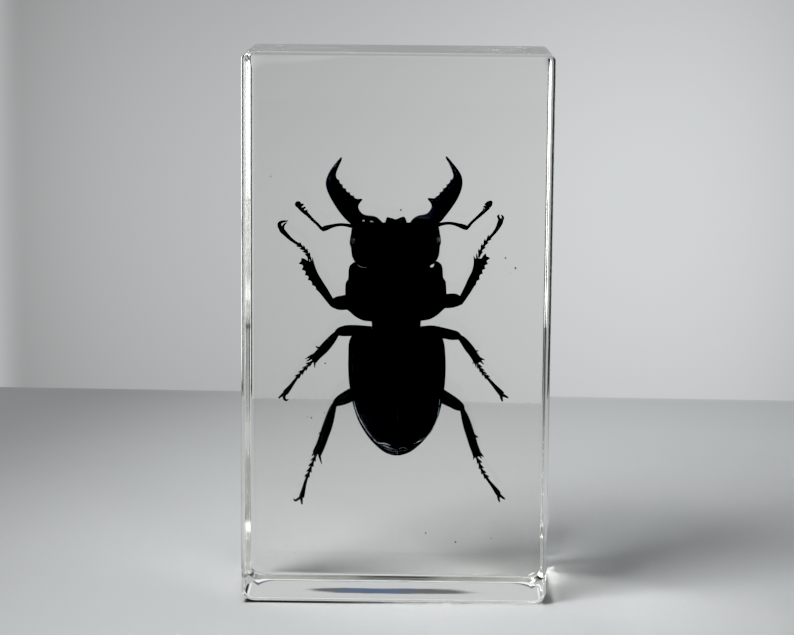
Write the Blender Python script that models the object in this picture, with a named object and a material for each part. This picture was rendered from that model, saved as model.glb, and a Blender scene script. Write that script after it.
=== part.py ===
"""Clear resin block that holds an insect: one cast and polished solid.

Metres, +Z up. The block stands on its small end. The origin is the centre of
the bottom face, the front face looks towards -Y and the width runs along X.
Seen from the front the outline is a rectangle with rounded corners. The front
rim has an even, fine rounding from polishing. The back is the open side of the
mould, where the resin pulled in as it set: its rim is wider and less even.
"""
import math

import bmesh
import bpy

# driving dimensions, metres
WIDTH = 0.0406          # X
DEPTH = 0.0200          # Y
HEIGHT = 0.0730         # Z
CORNERS = (0.0016, 0.0010, 0.0011, 0.0017)  # corner radii seen from the front, from bottom right anticlockwise
FRONT_RIM = 0.0006      # rounding of the front rim, in from each side and back from the face
BACK_RIM_DEPTH = 0.0010 # how far forward the back rim's rounding reaches
BACK_IN = {"left": 0.0008, "right": 0.0005, "bottom": 0.0007, "top": 0.0005}
BACK_DIP = 0.0020       # how much wider the back rim is at the top's left end
# corners of the flat back face, as (along X, along Z), from bottom right anticlockwise
BACK_CORNERS = ((0.0042, 0.0022), (0.0026, 0.0042), (0.0024, 0.0024), (0.0034, 0.0020))

CORNER_STEPS = 8        # facets in each corner of the outline
RIM_STEPS = 6           # facets across each rim's rounding
TOP_STEPS = 6           # pieces of the top edge, which isn't quite straight at the back

for old in list(bpy.data.objects):
    bpy.data.objects.remove(old, do_unlink=True)


def outline(inset, corners, dip=0.0):
    """Rounded rectangle in X and Z, anticlockwise seen from the front. inset is left, right, bottom, top."""
    left, right = -WIDTH / 2 + inset[0], WIDTH / 2 - inset[1]
    low, high = inset[2], HEIGHT - inset[3]
    (ax, az), (bx, bz), (cx, cz), (dx, dz) = corners
    arcs = (
        (right - ax, low + az, ax, az, -90.0),
        (right - bx, high - bz, bx, bz, 0.0),
        (left + cx, high - cz, cx, cz, 90.0),
        (left + dx, low + dz, dx, dz, 180.0),
    )
    points = []
    for n, (x, z, rx, rz, start) in enumerate(arcs):
        for k in range(CORNER_STEPS + 1):
            a = math.radians(start + 90.0 * k / CORNER_STEPS)
            points.append((x + rx * math.cos(a), z + rz * math.sin(a)))
        if n == 1:
            x0, x1 = right - bx, left + cx
            points += [(x0 + (x1 - x0) * k / TOP_STEPS, high) for k in range(1, TOP_STEPS)]
    shaped = []
    for x, z in points:
        t = min(max(-x / (0.4 * WIDTH), 0.0), 1.0)
        near_top = min(max((z - high + 0.006) / 0.006, 0.0), 1.0)
        shaped.append((x, z - dip * t * t * (3 - 2 * t) * near_top))
    return shaped


def sections():
    """(y, points) of each ring, from the front face to the back face."""
    full = outline((0.0,) * 4, [(r, r) for r in CORNERS])
    front = outline((FRONT_RIM,) * 4, [(r - FRONT_RIM, r - FRONT_RIM) for r in CORNERS])
    back = outline((BACK_IN["left"], BACK_IN["right"], BACK_IN["bottom"], BACK_IN["top"]), BACK_CORNERS, BACK_DIP)

    def between(face, s):
        return [(fx + (mx - fx) * s, fz + (mz - fz) * s) for (fx, fz), (mx, mz) in zip(face, full)]

    rings = []
    for k in range(RIM_STEPS + 1):
        a = math.radians(90.0 * k / RIM_STEPS)
        rings.append((-DEPTH / 2 + FRONT_RIM * (1 - math.cos(a)), between(front, math.sin(a))))
    for k in range(RIM_STEPS, -1, -1):
        a = math.radians(90.0 * k / RIM_STEPS)
        rings.append((DEPTH / 2 - BACK_RIM_DEPTH * (1 - math.cos(a)), between(back, math.sin(a))))
    return rings


def block_mesh():
    bm = bmesh.new()
    rows = [[bm.verts.new((x, y, z)) for x, z in ring] for y, ring in sections()]
    count = len(rows[0])
    for a, b in zip(rows, rows[1:]):
        for k in range(count):
            n = (k + 1) % count
            bm.faces.new((a[k], a[n], b[n], b[k]))
    bm.faces.new(list(reversed(rows[0])))
    bm.faces.new(rows[-1])
    bmesh.ops.recalc_face_normals(bm, faces=bm.faces)
    mesh = bpy.data.meshes.new("resin_block")
    bm.to_mesh(mesh)
    bm.free()
    mesh.shade_smooth()
    mesh.set_sharp_from_angle(angle=math.radians(30))
    return mesh


def resin():
    """Water-clear casting resin."""
    mat = bpy.data.materials.new("clear_resin")
    mat.use_nodes = True
    shader = mat.node_tree.nodes["Principled BSDF"]
    shader.inputs["Base Color"].default_value = (0.98, 0.99, 0.97, 1.0)
    shader.inputs["Roughness"].default_value = 0.02
    shader.inputs["Metallic"].default_value = 0.0
    shader.inputs["IOR"].default_value = 1.5
    shader.inputs["Transmission Weight"].default_value = 1.0
    return mat


block = bpy.data.objects.new("resin_block", block_mesh())
block.data.materials.append(resin())
bpy.context.scene.collection.objects.link(block)
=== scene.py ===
"""Looks of the insect in its resin block: the cast block, the stag beetle sealed in it, and a small studio.

Metres, +Z up, front of the block towards -Y, origin at the centre of its foot.
"""

import math

import bpy
import numpy as np
from mathutils import Matrix, Vector
from mathutils.geometry import delaunay_2d_cdt


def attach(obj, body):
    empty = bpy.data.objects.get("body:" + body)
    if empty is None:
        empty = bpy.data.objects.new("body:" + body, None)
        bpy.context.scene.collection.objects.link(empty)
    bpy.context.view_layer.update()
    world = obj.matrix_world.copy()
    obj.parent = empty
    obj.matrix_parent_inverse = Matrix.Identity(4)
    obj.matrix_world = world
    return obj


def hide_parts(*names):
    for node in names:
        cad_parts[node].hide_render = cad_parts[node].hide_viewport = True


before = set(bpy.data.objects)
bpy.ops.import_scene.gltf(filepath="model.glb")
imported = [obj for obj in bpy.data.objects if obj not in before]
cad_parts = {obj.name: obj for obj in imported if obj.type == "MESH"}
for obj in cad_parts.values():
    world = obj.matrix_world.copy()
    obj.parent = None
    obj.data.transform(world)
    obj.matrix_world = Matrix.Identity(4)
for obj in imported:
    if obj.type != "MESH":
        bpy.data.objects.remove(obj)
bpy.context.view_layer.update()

# ------------------------------------------------------------------ camera
EYE = Vector((0.0047, -0.3329, 0.0908))        # slightly right of the block's middle, above its top
TARGET = Vector((0.0, 0.0, 0.0369))
ROLL = math.radians(0.51)
LENS = 36.0 * 2502.0 / 794.0       # focal length of 2502 px on a picture 794 px wide


def make_camera():
    data = bpy.data.cameras.new("camera")
    data.lens = LENS
    data.sensor_width = 36.0
    data.clip_start, data.clip_end = 0.01, 20.0
    cam = bpy.data.objects.new("camera", data)
    bpy.context.scene.collection.objects.link(cam)
    ahead = (TARGET - EYE).normalized()
    right = ahead.cross(Vector((0, 0, 1))).normalized()
    up = right.cross(ahead)
    r = right * math.cos(ROLL) + up * math.sin(ROLL)
    u = up * math.cos(ROLL) - right * math.sin(ROLL)
    turn = Matrix((r, u, -ahead)).transposed().to_4x4()
    cam.matrix_world = Matrix.Translation(EYE) @ turn
    bpy.context.scene.camera = cam


make_camera()


# ------------------------------------------------------------------ small helpers
def link(obj):
    bpy.context.scene.collection.objects.link(obj)
    return obj


def mesh_object(name, verts, faces, normals=None, smooth=True):
    """A mesh from arrays. normals, one for each vertex, are for surfaces whose true shape is known."""
    mesh = bpy.data.meshes.new(name)
    mesh.from_pydata([tuple(map(float, v)) for v in verts], [], [tuple(map(int, f)) for f in faces])
    mesh.update()
    mesh.polygons.foreach_set("use_smooth", [smooth] * len(mesh.polygons))
    if normals is not None:
        mesh.normals_split_custom_set_from_vertices([tuple(map(float, n)) for n in normals])
    return link(bpy.data.objects.new(name, mesh))


class Nodes:
    """A short way to write the nodes of a material, or of the room."""

    def __init__(self, name, tree=None):
        self.tree = tree
        if tree is None:
            self.mat = bpy.data.materials.new(name)
            self.mat.use_nodes = True
            self.tree = self.mat.node_tree
        self.tree.nodes.clear()
        self.out = self.tree.nodes.new("ShaderNodeOutputMaterial" if tree is None else "ShaderNodeOutputWorld")

    def add(self, kind, inputs=None, **settings):
        node = self.tree.nodes.new("ShaderNode" + kind)
        for key, value in settings.items():
            setattr(node, key, value)
        for key, value in (inputs or {}).items():
            if isinstance(value, bpy.types.NodeSocket):
                self.tree.links.new(value, node.inputs[key])
            else:
                node.inputs[key].default_value = value
        return node

    def link(self, a, b):
        self.tree.links.new(a, b)

    def ramp(self, value, stops, interpolation="LINEAR"):
        node = self.tree.nodes.new("ShaderNodeValToRGB")
        self.tree.links.new(value, node.inputs["Fac"])
        node.color_ramp.interpolation = interpolation
        items = node.color_ramp.elements
        while len(items) > 1:
            items.remove(items[-1])
        for k, (at, colour) in enumerate(stops):
            item = items[0] if k == 0 else items.new(at)
            item.position = at
            grey = colour if isinstance(colour, tuple) else (colour,) * 3
            item.color = (*grey, 1.0)
        return node.outputs["Color"]

    def math(self, operation, a, b=0.0, c=0.0, clamp=False):
        node = self.add("Math", {0: a, 1: b, 2: c}, operation=operation)
        node.use_clamp = clamp
        return node.outputs[0]


# ------------------------------------------------------------------ the block
WIDTH, DEPTH, HEIGHT = 0.0406, 0.0200, 0.0730
CORNERS = (0.0016, 0.0010, 0.0011, 0.0017)     # from bottom right anticlockwise
FRONT_RIM, BACK_RIM_DEPTH = 0.0006, 0.0010
BACK_IN = (0.0008, 0.0005, 0.0007, 0.0005)     # left, right, bottom, top
BACK_DIP = 0.0020
BACK_CORNERS = ((0.0042, 0.0022), (0.0026, 0.0042), (0.0024, 0.0024), (0.0034, 0.0020))


def outline(inset, corners, dip=0.0, corner_steps=28, top_steps=24):
    """The block's outline in X and Z: the same rule as the CAD solid's, with more points."""
    left, right = -WIDTH / 2 + inset[0], WIDTH / 2 - inset[1]
    low, high = inset[2], HEIGHT - inset[3]
    (ax, az), (bx, bz), (cx, cz), (dx, dz) = corners
    arcs = ((right - ax, low + az, ax, az, -90.0), (right - bx, high - bz, bx, bz, 0.0),
            (left + cx, high - cz, cx, cz, 90.0), (left + dx, low + dz, dx, dz, 180.0))
    points = []
    for n, (x, z, rx, rz, start) in enumerate(arcs):
        for k in range(corner_steps + 1):
            a = math.radians(start + 90.0 * k / corner_steps)
            points.append((x + rx * math.cos(a), z + rz * math.sin(a)))
        if n == 1:
            x0, x1 = right - bx, left + cx
            points += [(x0 + (x1 - x0) * k / top_steps, high) for k in range(1, top_steps)]
    p = np.array(points)
    t = np.clip(-p[:, 0] / (0.4 * WIDTH), 0.0, 1.0)
    near_top = np.clip((p[:, 1] - high + 0.006) / 0.006, 0.0, 1.0)
    p[:, 1] -= dip * t * t * (3 - 2 * t) * near_top
    return p


def step(m, value, a, b):
    """0 below a, 1 above b, soft between; the other way round where a > b."""
    low, high, first, last = (a, b, 0.0, 1.0) if a < b else (b, a, 1.0, 0.0)
    return m.add("MapRange", {"Value": value, "From Min": low, "From Max": high, "To Min": first, "To Max": last},
                 interpolation_type="SMOOTHSTEP").outputs["Result"]


def block():
    """The CAD solid's shape with fine rims, and each point's normal from the surface itself."""
    rim_steps = 20
    full = outline((0.0,) * 4, [(r, r) for r in CORNERS])
    front = outline((FRONT_RIM,) * 4, [(r - FRONT_RIM, r - FRONT_RIM) for r in CORNERS])
    back = outline(BACK_IN, BACK_CORNERS, BACK_DIP)
    rings = []
    for k in range(rim_steps + 1):
        a = math.radians(90.0 * k / rim_steps)
        rings.append((front, FRONT_RIM, -1, a))
    for k in range(rim_steps, -1, -1):
        a = math.radians(90.0 * k / rim_steps)
        rings.append((back, BACK_RIM_DEPTH, 1, a))
    verts, normals = [], []
    for face, depth, sign, a in rings:
        at = face + (full - face) * math.sin(a)
        y = sign * (DEPTH / 2 - depth * (1 - math.cos(a)))
        verts.append(np.column_stack((at[:, 0], np.full(len(at), y), at[:, 1])))
        along = np.roll(at, -1, axis=0) - np.roll(at, 1, axis=0)
        out = np.column_stack((along[:, 1], -along[:, 0]))
        out /= np.linalg.norm(out, axis=1)[:, None]
        lean = ((full - face) * out).sum(axis=1) * math.cos(a)         # how fast the ring moves outwards
        fall = depth * math.sin(a) + 1e-12                             # how fast it leaves the face
        n = np.column_stack((out[:, 0] * fall, np.full(len(at), 1.0) * sign * lean, out[:, 1] * fall))
        if math.cos(a) < 1e-6:
            n[:, 1] = 0.0
        normals.append(n / np.linalg.norm(n, axis=1)[:, None])
    n = len(full)
    faces = []
    for i in range(len(rings) - 1):
        for k in range(n):
            a, b = i * n + k, i * n + (k + 1) % n
            faces.append((a, a + n, b + n, b))
    faces.append(tuple(range(n)))
    faces.append(tuple((len(rings) - 1) * n + k for k in range(n - 1, -1, -1)))
    obj = mesh_object("resin_casting", np.vstack(verts), faces, np.vstack(normals))
    m = Nodes("clear_resin")
    where = m.add("TexCoord").outputs["Object"]
    haze = m.add("TexNoise", {"Vector": where, "Scale": 45.0, "Detail": 3.0}).outputs["Fac"]
    rough = m.add("MapRange", {"Value": haze, "From Min": 0.55, "From Max": 0.85, "To Min": 0.0, "To Max": 0.012})
    wave = m.add("TexNoise", {"Vector": where, "Scale": 140.0, "Detail": 1.0}).outputs["Fac"]
    bump = m.add("Bump", {"Strength": 0.10, "Distance": 0.00004, "Height": wave})
    # the bottom face is ground by hand: a shallow hollow across its middle and some long ripples
    at = m.add("SeparateXYZ", {0: where})
    low = step(m, at.outputs["Z"], 0.0009, 0.0001)
    across = m.math("MULTIPLY", step(m, at.outputs["X"], -0.0150, -0.0050), step(m, at.outputs["X"], 0.0150, 0.0040))
    long = m.add("Mapping", {"Vector": where, "Scale": (0.35, 1.0, 1.0)}).outputs[0]
    uneven = m.add("TexNoise", {"Vector": long, "Scale": 420.0, "Detail": 2.0}).outputs["Fac"]
    hollow = m.math("MULTIPLY", across, m.math("MULTIPLY_ADD", uneven, 0.16, step(m, at.outputs["Y"], -0.0034, 0.0016)))
    bump = m.add("Bump", {"Strength": low, "Distance": 0.00010, "Height": hollow, "Normal": bump.outputs["Normal"]})
    ripple = m.add("TexNoise", {"Vector": long, "Scale": 170.0, "Detail": 2.0}).outputs["Fac"]
    bump = m.add("Bump", {"Strength": low, "Distance": 0.000025, "Height": ripple, "Normal": bump.outputs["Normal"]})
    # the back face is the open side of the mould and not as finely polished, so what stands behind looks a little soft
    far = step(m, at.outputs["Y"], 0.0094, 0.0099)
    grain = m.add("TexNoise", {"Vector": where, "Scale": 1500.0, "Detail": 1.0}).outputs["Fac"]
    bump = m.add("Bump", {"Strength": far, "Distance": 0.0000012, "Height": grain, "Normal": bump.outputs["Normal"]})
    shader = m.add("BsdfPrincipled", {
        "Base Color": (1.0, 1.0, 1.0, 1.0), "Metallic": 0.0, "IOR": 1.5, "Transmission Weight": 1.0,
        "Roughness": rough.outputs["Result"], "Normal": bump.outputs["Normal"]})
    m.link(shader.outputs["BSDF"], m.out.inputs["Surface"])
    volume = m.add("VolumeAbsorption", {"Color": (0.60, 0.62, 0.51, 1.0), "Density": 8.0})
    m.link(volume.outputs["Volume"], m.out.inputs["Volume"])
    obj.data.materials.append(m.mat)
    return obj


casting = block()
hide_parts("resin_block")
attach(casting, "root")


# ------------------------------------------------------------------ shapes in the beetle's own frame
# Millimetres: u to the viewer's right, v towards the head, w towards the viewer (the beetle's back).
SET = np.array(((1.00264, -0.01593), (0.02363, 1.01481)))
SET_AT = np.array((-0.079, 36.602))
EYE_AT = np.array((EYE.x, EYE.z)) * 1000.0
SIGHT = 494.4                      # how far off the eye seems to be from inside the resin


def place(p):
    """From the beetle's frame to the block's, metres. The body leans by a few degrees with depth."""
    p = np.asarray(p, float)
    xz = p[:, :2] @ SET.T + SET_AT
    xz = xz - p[:, 2:3] * (xz - EYE_AT) / SIGHT
    return np.column_stack((xz[:, 0], -p[:, 2], xz[:, 1])) * 0.001


class Shape:
    """Closed pieces of mesh gathered into one object."""

    def __init__(self):
        self.verts, self.faces, self.count = [], [], 0

    def add(self, part):
        verts, faces = part
        self.verts.append(np.asarray(verts, float))
        self.faces += [tuple(int(i) + self.count for i in f) for f in faces]
        self.count += len(verts)
        return self

    def make(self, name, material):
        obj = mesh_object(name, place(np.vstack(self.verts)), self.faces)
        obj.data.materials.append(material)
        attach(obj, "root")
        return obj


def spline(points, spacing, closed=False, dims=2):
    """Even points on a centripetal Catmull-Rom curve. Columns after dims ride along, such as widths."""
    p = np.asarray(points, float)
    n = len(p)
    if closed:
        ext = np.vstack((p[-1], p, p[0], p[1]))
    else:
        ext = np.vstack((2 * p[0] - p[1], p, 2 * p[-1] - p[-2]))
    rows = []
    for k in range(n if closed else n - 1):
        a, b, c, d = ext[k:k + 4]
        step = [max(float(np.linalg.norm(q[:dims] - r[:dims])), 1e-6) ** 0.5 for q, r in ((b, a), (c, b), (d, c))]
        t1, t2 = step[0], step[0] + step[1]
        t3 = t2 + step[2]
        t = np.linspace(t1, t2, max(3, int(step[1] ** 2 / spacing * 3) + 2), endpoint=False)[:, None]
        a1 = (t1 - t) / t1 * a + t / t1 * b
        a2 = (t2 - t) / (t2 - t1) * b + (t - t1) / (t2 - t1) * c
        a3 = (t3 - t) / (t3 - t2) * c + (t - t2) / (t3 - t2) * d
        b1 = (t2 - t) / t2 * a1 + t / t2 * a2
        b2 = (t3 - t) / (t3 - t1) * a2 + (t - t1) / (t3 - t1) * a3
        rows.append((t2 - t) / (t2 - t1) * b1 + (t - t1) / (t2 - t1) * b2)
    rows.append(ext[n + 1:n + 2] if closed else ext[n:n + 1])
    fine = np.vstack(rows)
    along = np.concatenate(([0.0], np.cumsum(np.linalg.norm(np.diff(fine[:, :dims], axis=0), axis=1))))
    count = max(4, int(round(along[-1] / spacing)))
    at = np.linspace(0.0, along[-1], count + 1)
    if closed:
        at = at[:-1]
    return np.column_stack([np.interp(at, along, fine[:, j]) for j in range(fine.shape[1])])


def gap(points, a, b):
    """Distance of each point from the nearest of the segments a to b."""
    out = np.empty(len(points))
    ex, ey = b[:, 0] - a[:, 0], b[:, 1] - a[:, 1]
    size = ex * ex + ey * ey + 1e-12
    for k in range(0, len(points), 1500):
        p = points[k:k + 1500]
        px, py = p[:, 0:1] - a[:, 0], p[:, 1:2] - a[:, 1]
        t = np.clip((px * ex + py * ey) / size, 0.0, 1.0)
        px, py = px - t * ex, py - t * ey
        out[k:k + 1500] = np.sqrt((px * px + py * py).min(axis=1))
    return out


def within(points, ring):
    """True for each point inside the closed ring."""
    x1, y1 = np.roll(ring, -1, axis=0).T
    x0, y0 = ring.T
    out = np.empty(len(points), bool)
    for k in range(0, len(points), 1500):
        x, y = points[k:k + 1500, 0:1], points[k:k + 1500, 1:2]
        hit = ((y0 <= y) != (y1 <= y)) & (x < (x1 - x0) * (y - y0) / (y1 - y0 + 1e-12) + x0)
        out[k:k + 1500] = hit.sum(axis=1) % 2 == 1
    return out


def sheet(outline, spacing, rounding, turns=5):
    """Even triangles over a closed outline, finer by its edge: points, triangles, size of the edge ring."""
    ring = spline(outline, spacing, closed=True)
    x, y = ring.T
    if (x * np.roll(y, -1) - y * np.roll(x, -1)).sum() < 0:
        ring = ring[::-1]
    a, b = ring, np.roll(ring, -1, axis=0)
    tangent = np.roll(ring, -1, axis=0) - np.roll(ring, 1, axis=0)
    inward = np.column_stack((-tangent[:, 1], tangent[:, 0]))
    inward /= np.linalg.norm(inward, axis=1)[:, None] + 1e-12
    depths = rounding * (1 - np.cos(np.radians(np.linspace(0, 90, turns + 2)[1:])))
    depths = depths[depths < 6 * spacing]
    parts, last = [ring], 0.0
    for k, depth in enumerate(depths):
        moved = ring + inward * depth
        if k % 2 == 0:
            moved = (moved + np.roll(moved, -1, axis=0)) / 2
        keep = within(moved, ring)
        moved = moved[keep]
        moved = moved[gap(moved, a, b) > depth * 0.93]
        parts.append(moved)
        last = depth
        if k + 1 < len(depths) and depths[k + 1] - depth > spacing * 0.95:
            break
    (x0, y0), (x1, y1) = ring.min(axis=0), ring.max(axis=0)
    rise = spacing * math.sqrt(0.75)
    gy = np.arange(y0, y1, rise)
    gx = np.arange(x0, x1, spacing)
    grid = np.array([(x + (spacing / 2 if j % 2 else 0.0), y) for j, y in enumerate(gy) for x in gx])
    if len(grid):
        grid = grid[within(grid, ring)]
    if len(grid):
        grid = grid[gap(grid, a, b) > last + 0.6 * spacing]
        parts.append(grid)
    points = np.vstack(parts)
    n = len(ring)
    found = delaunay_2d_cdt([Vector(p) for p in points], [], [list(range(n))], 1, 1e-5)
    flat = np.array([tuple(p) for p in found[0]])
    edge = np.zeros(len(flat), bool)
    for k, source in enumerate(found[3]):
        edge[k] = any(s < n for s in source)
    used = np.zeros(len(flat), bool)
    tris = np.array([f for f in found[2] if len(f) == 3], int)
    used[tris.ravel()] = True
    order = np.concatenate((np.flatnonzero(edge & used), np.flatnonzero(~edge & used)))
    back = np.empty(len(flat), int)
    back[order] = np.arange(len(order))
    flat, tris = flat[order], back[tris]
    p, q, r = flat[tris[:, 0]], flat[tris[:, 1]], flat[tris[:, 2]]
    turn = (q[:, 0] - p[:, 0]) * (r[:, 1] - p[:, 1]) - (q[:, 1] - p[:, 1]) * (r[:, 0] - p[:, 0])
    tris = tris[np.abs(turn) > 1e-9]
    turn = turn[np.abs(turn) > 1e-9]
    tris[turn < 0] = tris[turn < 0][:, ::-1]
    return flat, tris, int((edge & used).sum()), ring


def dome(d, reach):
    """0 at the edge, rising upright and levelling off to 1 at the given reach."""
    x = np.clip(np.asarray(d, float) / reach, 0.0, 1.0)
    return np.sqrt(1 - (1 - x) ** 2)


def bell(x, centre, half):
    return np.exp(-((x - centre) / half) ** 2)


def blend(x, low, high):
    t = np.clip((x - low) / (high - low), 0.0, 1.0)
    return t * t * (3 - 2 * t)


def pits(u, v, cell, radius, seed=0.0):
    """1 in the middle of each of many small scattered dimples, fading to 0 around it."""
    iu, iv = np.floor(u / cell), np.floor(v / cell)
    best = np.full(np.shape(u), 1e9)
    for i in (-1, 0, 1):
        for j in (-1, 0, 1):
            cu, cv = iu + i, iv + j
            h = np.sin(cu * 127.1 + cv * 311.7 + seed) * 43758.5453
            g = np.sin(cu * 269.5 + cv * 183.3 + seed * 1.7) * 24634.6345
            du = u - (cu + 0.12 + 0.76 * (h - np.floor(h))) * cell
            dv = v - (cv + 0.12 + 0.76 * (g - np.floor(g))) * cell
            best = np.minimum(best, du * du + dv * dv)
    return np.exp(-best / radius ** 2)


def swell(u, v, size, seed=0.0):
    """Slow unevenness, about -1 to 1."""
    return (np.sin(u / size * 2.1 + seed) * np.sin(v / size * 1.7 + seed * 2.3) +
            0.5 * np.sin(u / size * 4.3 + v / size * 3.1 + seed * 0.7)) / 1.5


def pillow(outline, top, bottom, spacing=0.09, rounding=1.0, turns=5):
    """A closed body over an outline. top and bottom take (points, distance from the edge) and meet at the edge."""
    flat, tris, n, ring = sheet(outline, spacing, rounding, turns)
    d = gap(flat, ring, np.roll(ring, -1, axis=0))
    d[:n] = 0.0
    high, low = top(flat, d), bottom(flat, d)
    high[:n] = low[:n] = (high[:n] + low[:n]) / 2
    count = len(flat)
    verts = np.vstack((np.column_stack((flat, high)), np.column_stack((flat[n:], low[n:]))))
    under = np.where(tris < n, tris, tris + count - n)[:, ::-1]
    return verts, [tuple(t) for t in tris] + [tuple(t) for t in under]


def tube(path, sides=20, spacing=0.1, ends=(1.0, 1.0), square=2.0, relief=None, lean=(0.0, 0.0, 1.0)):
    """A rod through (u, v, w, width, thickness) rows, with round ends. ends scales how far each end bulges."""
    rows = spline(path, spacing, dims=3)
    centre, wide, thick = rows[:, :3], rows[:, 3] / 2, rows[:, 4] / 2
    ahead = np.gradient(centre, axis=0)
    ahead /= np.linalg.norm(ahead, axis=1)[:, None]
    side = np.cross(np.asarray(lean, float), ahead)
    side /= np.linalg.norm(side, axis=1)[:, None]
    up = np.cross(ahead, side)
    angles = np.radians([75, 60, 45, 30, 15])
    first, last = [], []
    for a in angles:
        c, s = math.cos(a), math.sin(a)
        first.append((centre[0] - ahead[0] * s * min(wide[0], thick[0]) * ends[0], side[0], up[0], wide[0] * c, thick[0] * c))
        last.append((centre[-1] + ahead[-1] * s * min(wide[-1], thick[-1]) * ends[1], side[-1], up[-1], wide[-1] * c, thick[-1] * c))
    body = [(centre[k], side[k], up[k], wide[k], thick[k]) for k in range(len(rows))]
    rings = first + body + last[::-1]
    turn = np.linspace(0, 2 * math.pi, sides, endpoint=False)
    ca, sa = np.cos(turn), np.sin(turn)
    shape = (np.abs(ca) ** square + np.abs(sa) ** square) ** (-1 / square)
    ca, sa = ca * shape, sa * shape
    verts = []
    total = len(rings)
    for k, (at, s, u, a, b) in enumerate(rings):
        swellby = 1.0 if relief is None else relief(k / (total - 1), turn)
        verts.append(at + (s * (ca * a * swellby)[:, None]) + (u * (sa * b * swellby)[:, None]))
    tip0 = centre[0] - ahead[0] * min(wide[0], thick[0]) * ends[0]
    tip1 = centre[-1] + ahead[-1] * min(wide[-1], thick[-1]) * ends[1]
    verts = np.vstack(verts + [tip0[None], tip1[None]])
    faces = []
    for k in range(total - 1):
        for i in range(sides):
            j = (i + 1) % sides
            a, b = k * sides, (k + 1) * sides
            faces.append((a + i, a + j, b + j, b + i))
    t0, t1 = total * sides, total * sides + 1
    for i in range(sides):
        j = (i + 1) % sides
        faces.append((t0, j, i))
        faces.append((t1, (total - 1) * sides + i, (total - 1) * sides + j))
    return verts, faces


def spine(base, tip, width, w0, w1=None, bend=0.0, sides=10):
    """A pointed spine or claw from base to tip (u, v), bent sideways by a part of its length."""
    w1 = w0 if w1 is None else w1
    b, t = np.array((*base, w0)), np.array((*tip, w1))
    d = t - b
    off = np.array((-d[1], d[0], 0.0)) * bend
    rows = []
    for s in np.linspace(0, 1, 7):
        at = b + d * s + off * (4 * s * (1 - s))
        size = width * 1.30 * (1 - s) ** 0.7 + 0.05
        rows.append((*at, size, size * 0.85))
    return tube(rows, sides=sides, spacing=0.05, ends=(0.6, 1.2))


# ------------------------------------------------------------------ the beetle's materials
def chitin(name, tone, rough=(0.22, 0.36), pit_scale=5200.0, bump_depth=0.00002, ior=1.07, warm=0.0):
    """Near-black horn of a dry beetle, sealed in resin: weak gloss, fine punctures, a faint cold cast."""
    m = Nodes(name)
    where = m.add("TexCoord").outputs["Object"]
    cloud = m.add("TexNoise", {"Vector": where, "Scale": 320.0, "Detail": 5.0, "Roughness": 0.6}).outputs["Fac"]
    fine = m.add("TexNoise", {"Vector": where, "Scale": 2600.0, "Detail": 3.0}).outputs["Fac"]
    r, g, b = tone
    colour = m.ramp(cloud, [(0.30, (r * 0.55, g * 0.55, b * 0.6)), (0.52, (r, g, b)), (0.75, (r * 1.7 + warm, g * 1.5 + warm * 0.6, b * 1.6))])
    gloss = m.add("MapRange", {"Value": fine, "From Min": 0.3, "From Max": 0.7, "To Min": rough[0], "To Max": rough[1]}).outputs["Result"]
    cell = m.add("TexVoronoi", {"Vector": where, "Scale": pit_scale, "Randomness": 0.85}, feature="F1").outputs["Distance"]
    pit = m.add("MapRange", {"Value": cell, "From Min": 0.05, "From Max": 0.32, "To Min": 0.0, "To Max": 1.0}).outputs["Result"]
    height = m.math("MULTIPLY_ADD", fine, 0.35, pit)
    bump = m.add("Bump", {"Strength": 0.6, "Distance": bump_depth, "Height": height}).outputs["Normal"]
    shader = m.add("BsdfPrincipled", {"Base Color": colour, "Roughness": gloss, "IOR": ior, "Normal": bump})
    m.link(shader.outputs["BSDF"], m.out.inputs["Surface"])
    return m.mat


def eye_surface():
    """The compound eye: fine facets, a grey-brown sheen."""
    m = Nodes("compound_eye")
    where = m.add("TexCoord").outputs["Object"]
    facets = m.add("TexVoronoi", {"Vector": where, "Scale": 14000.0, "Randomness": 0.15}, feature="DISTANCE_TO_EDGE").outputs["Distance"]
    cloud = m.add("TexNoise", {"Vector": where, "Scale": 1500.0, "Detail": 3.0}).outputs["Fac"]
    colour = m.ramp(cloud, [(0.3, (0.012, 0.012, 0.013)), (0.7, (0.042, 0.041, 0.040))])
    bump = m.add("Bump", {"Strength": 0.5, "Distance": 0.00001, "Height": facets}).outputs["Normal"]
    rough = m.add("MapRange", {"Value": cloud, "From Min": 0.3, "From Max": 0.7, "To Min": 0.16, "To Max": 0.30}).outputs["Result"]
    shader = m.add("BsdfPrincipled", {"Base Color": colour, "Roughness": rough, "IOR": 1.36, "Normal": bump})
    m.link(shader.outputs["BSDF"], m.out.inputs["Surface"])
    return m.mat


def dust_surface():
    """Pale dust and tiny bubbles caught in the casting."""
    m = Nodes("cast_dust")
    where = m.add("TexCoord").outputs["Object"]
    cloud = m.add("TexNoise", {"Vector": where, "Scale": 3000.0, "Detail": 3.0}).outputs["Fac"]
    broad = m.add("TexNoise", {"Vector": where, "Scale": 37.0, "Detail": 0.0}).outputs["Fac"]
    colour = m.ramp(m.math("MULTIPLY_ADD", cloud, 0.3, broad), [(0.50, (0.020, 0.020, 0.024)), (0.75, (0.085, 0.085, 0.080))])
    rough = m.add("MapRange", {"Value": cloud, "To Min": 0.35, "To Max": 0.7}).outputs["Result"]
    shader = m.add("BsdfPrincipled", {"Base Color": colour, "Roughness": rough, "IOR": 1.3})
    m.link(shader.outputs["BSDF"], m.out.inputs["Surface"])
    return m.mat


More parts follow.
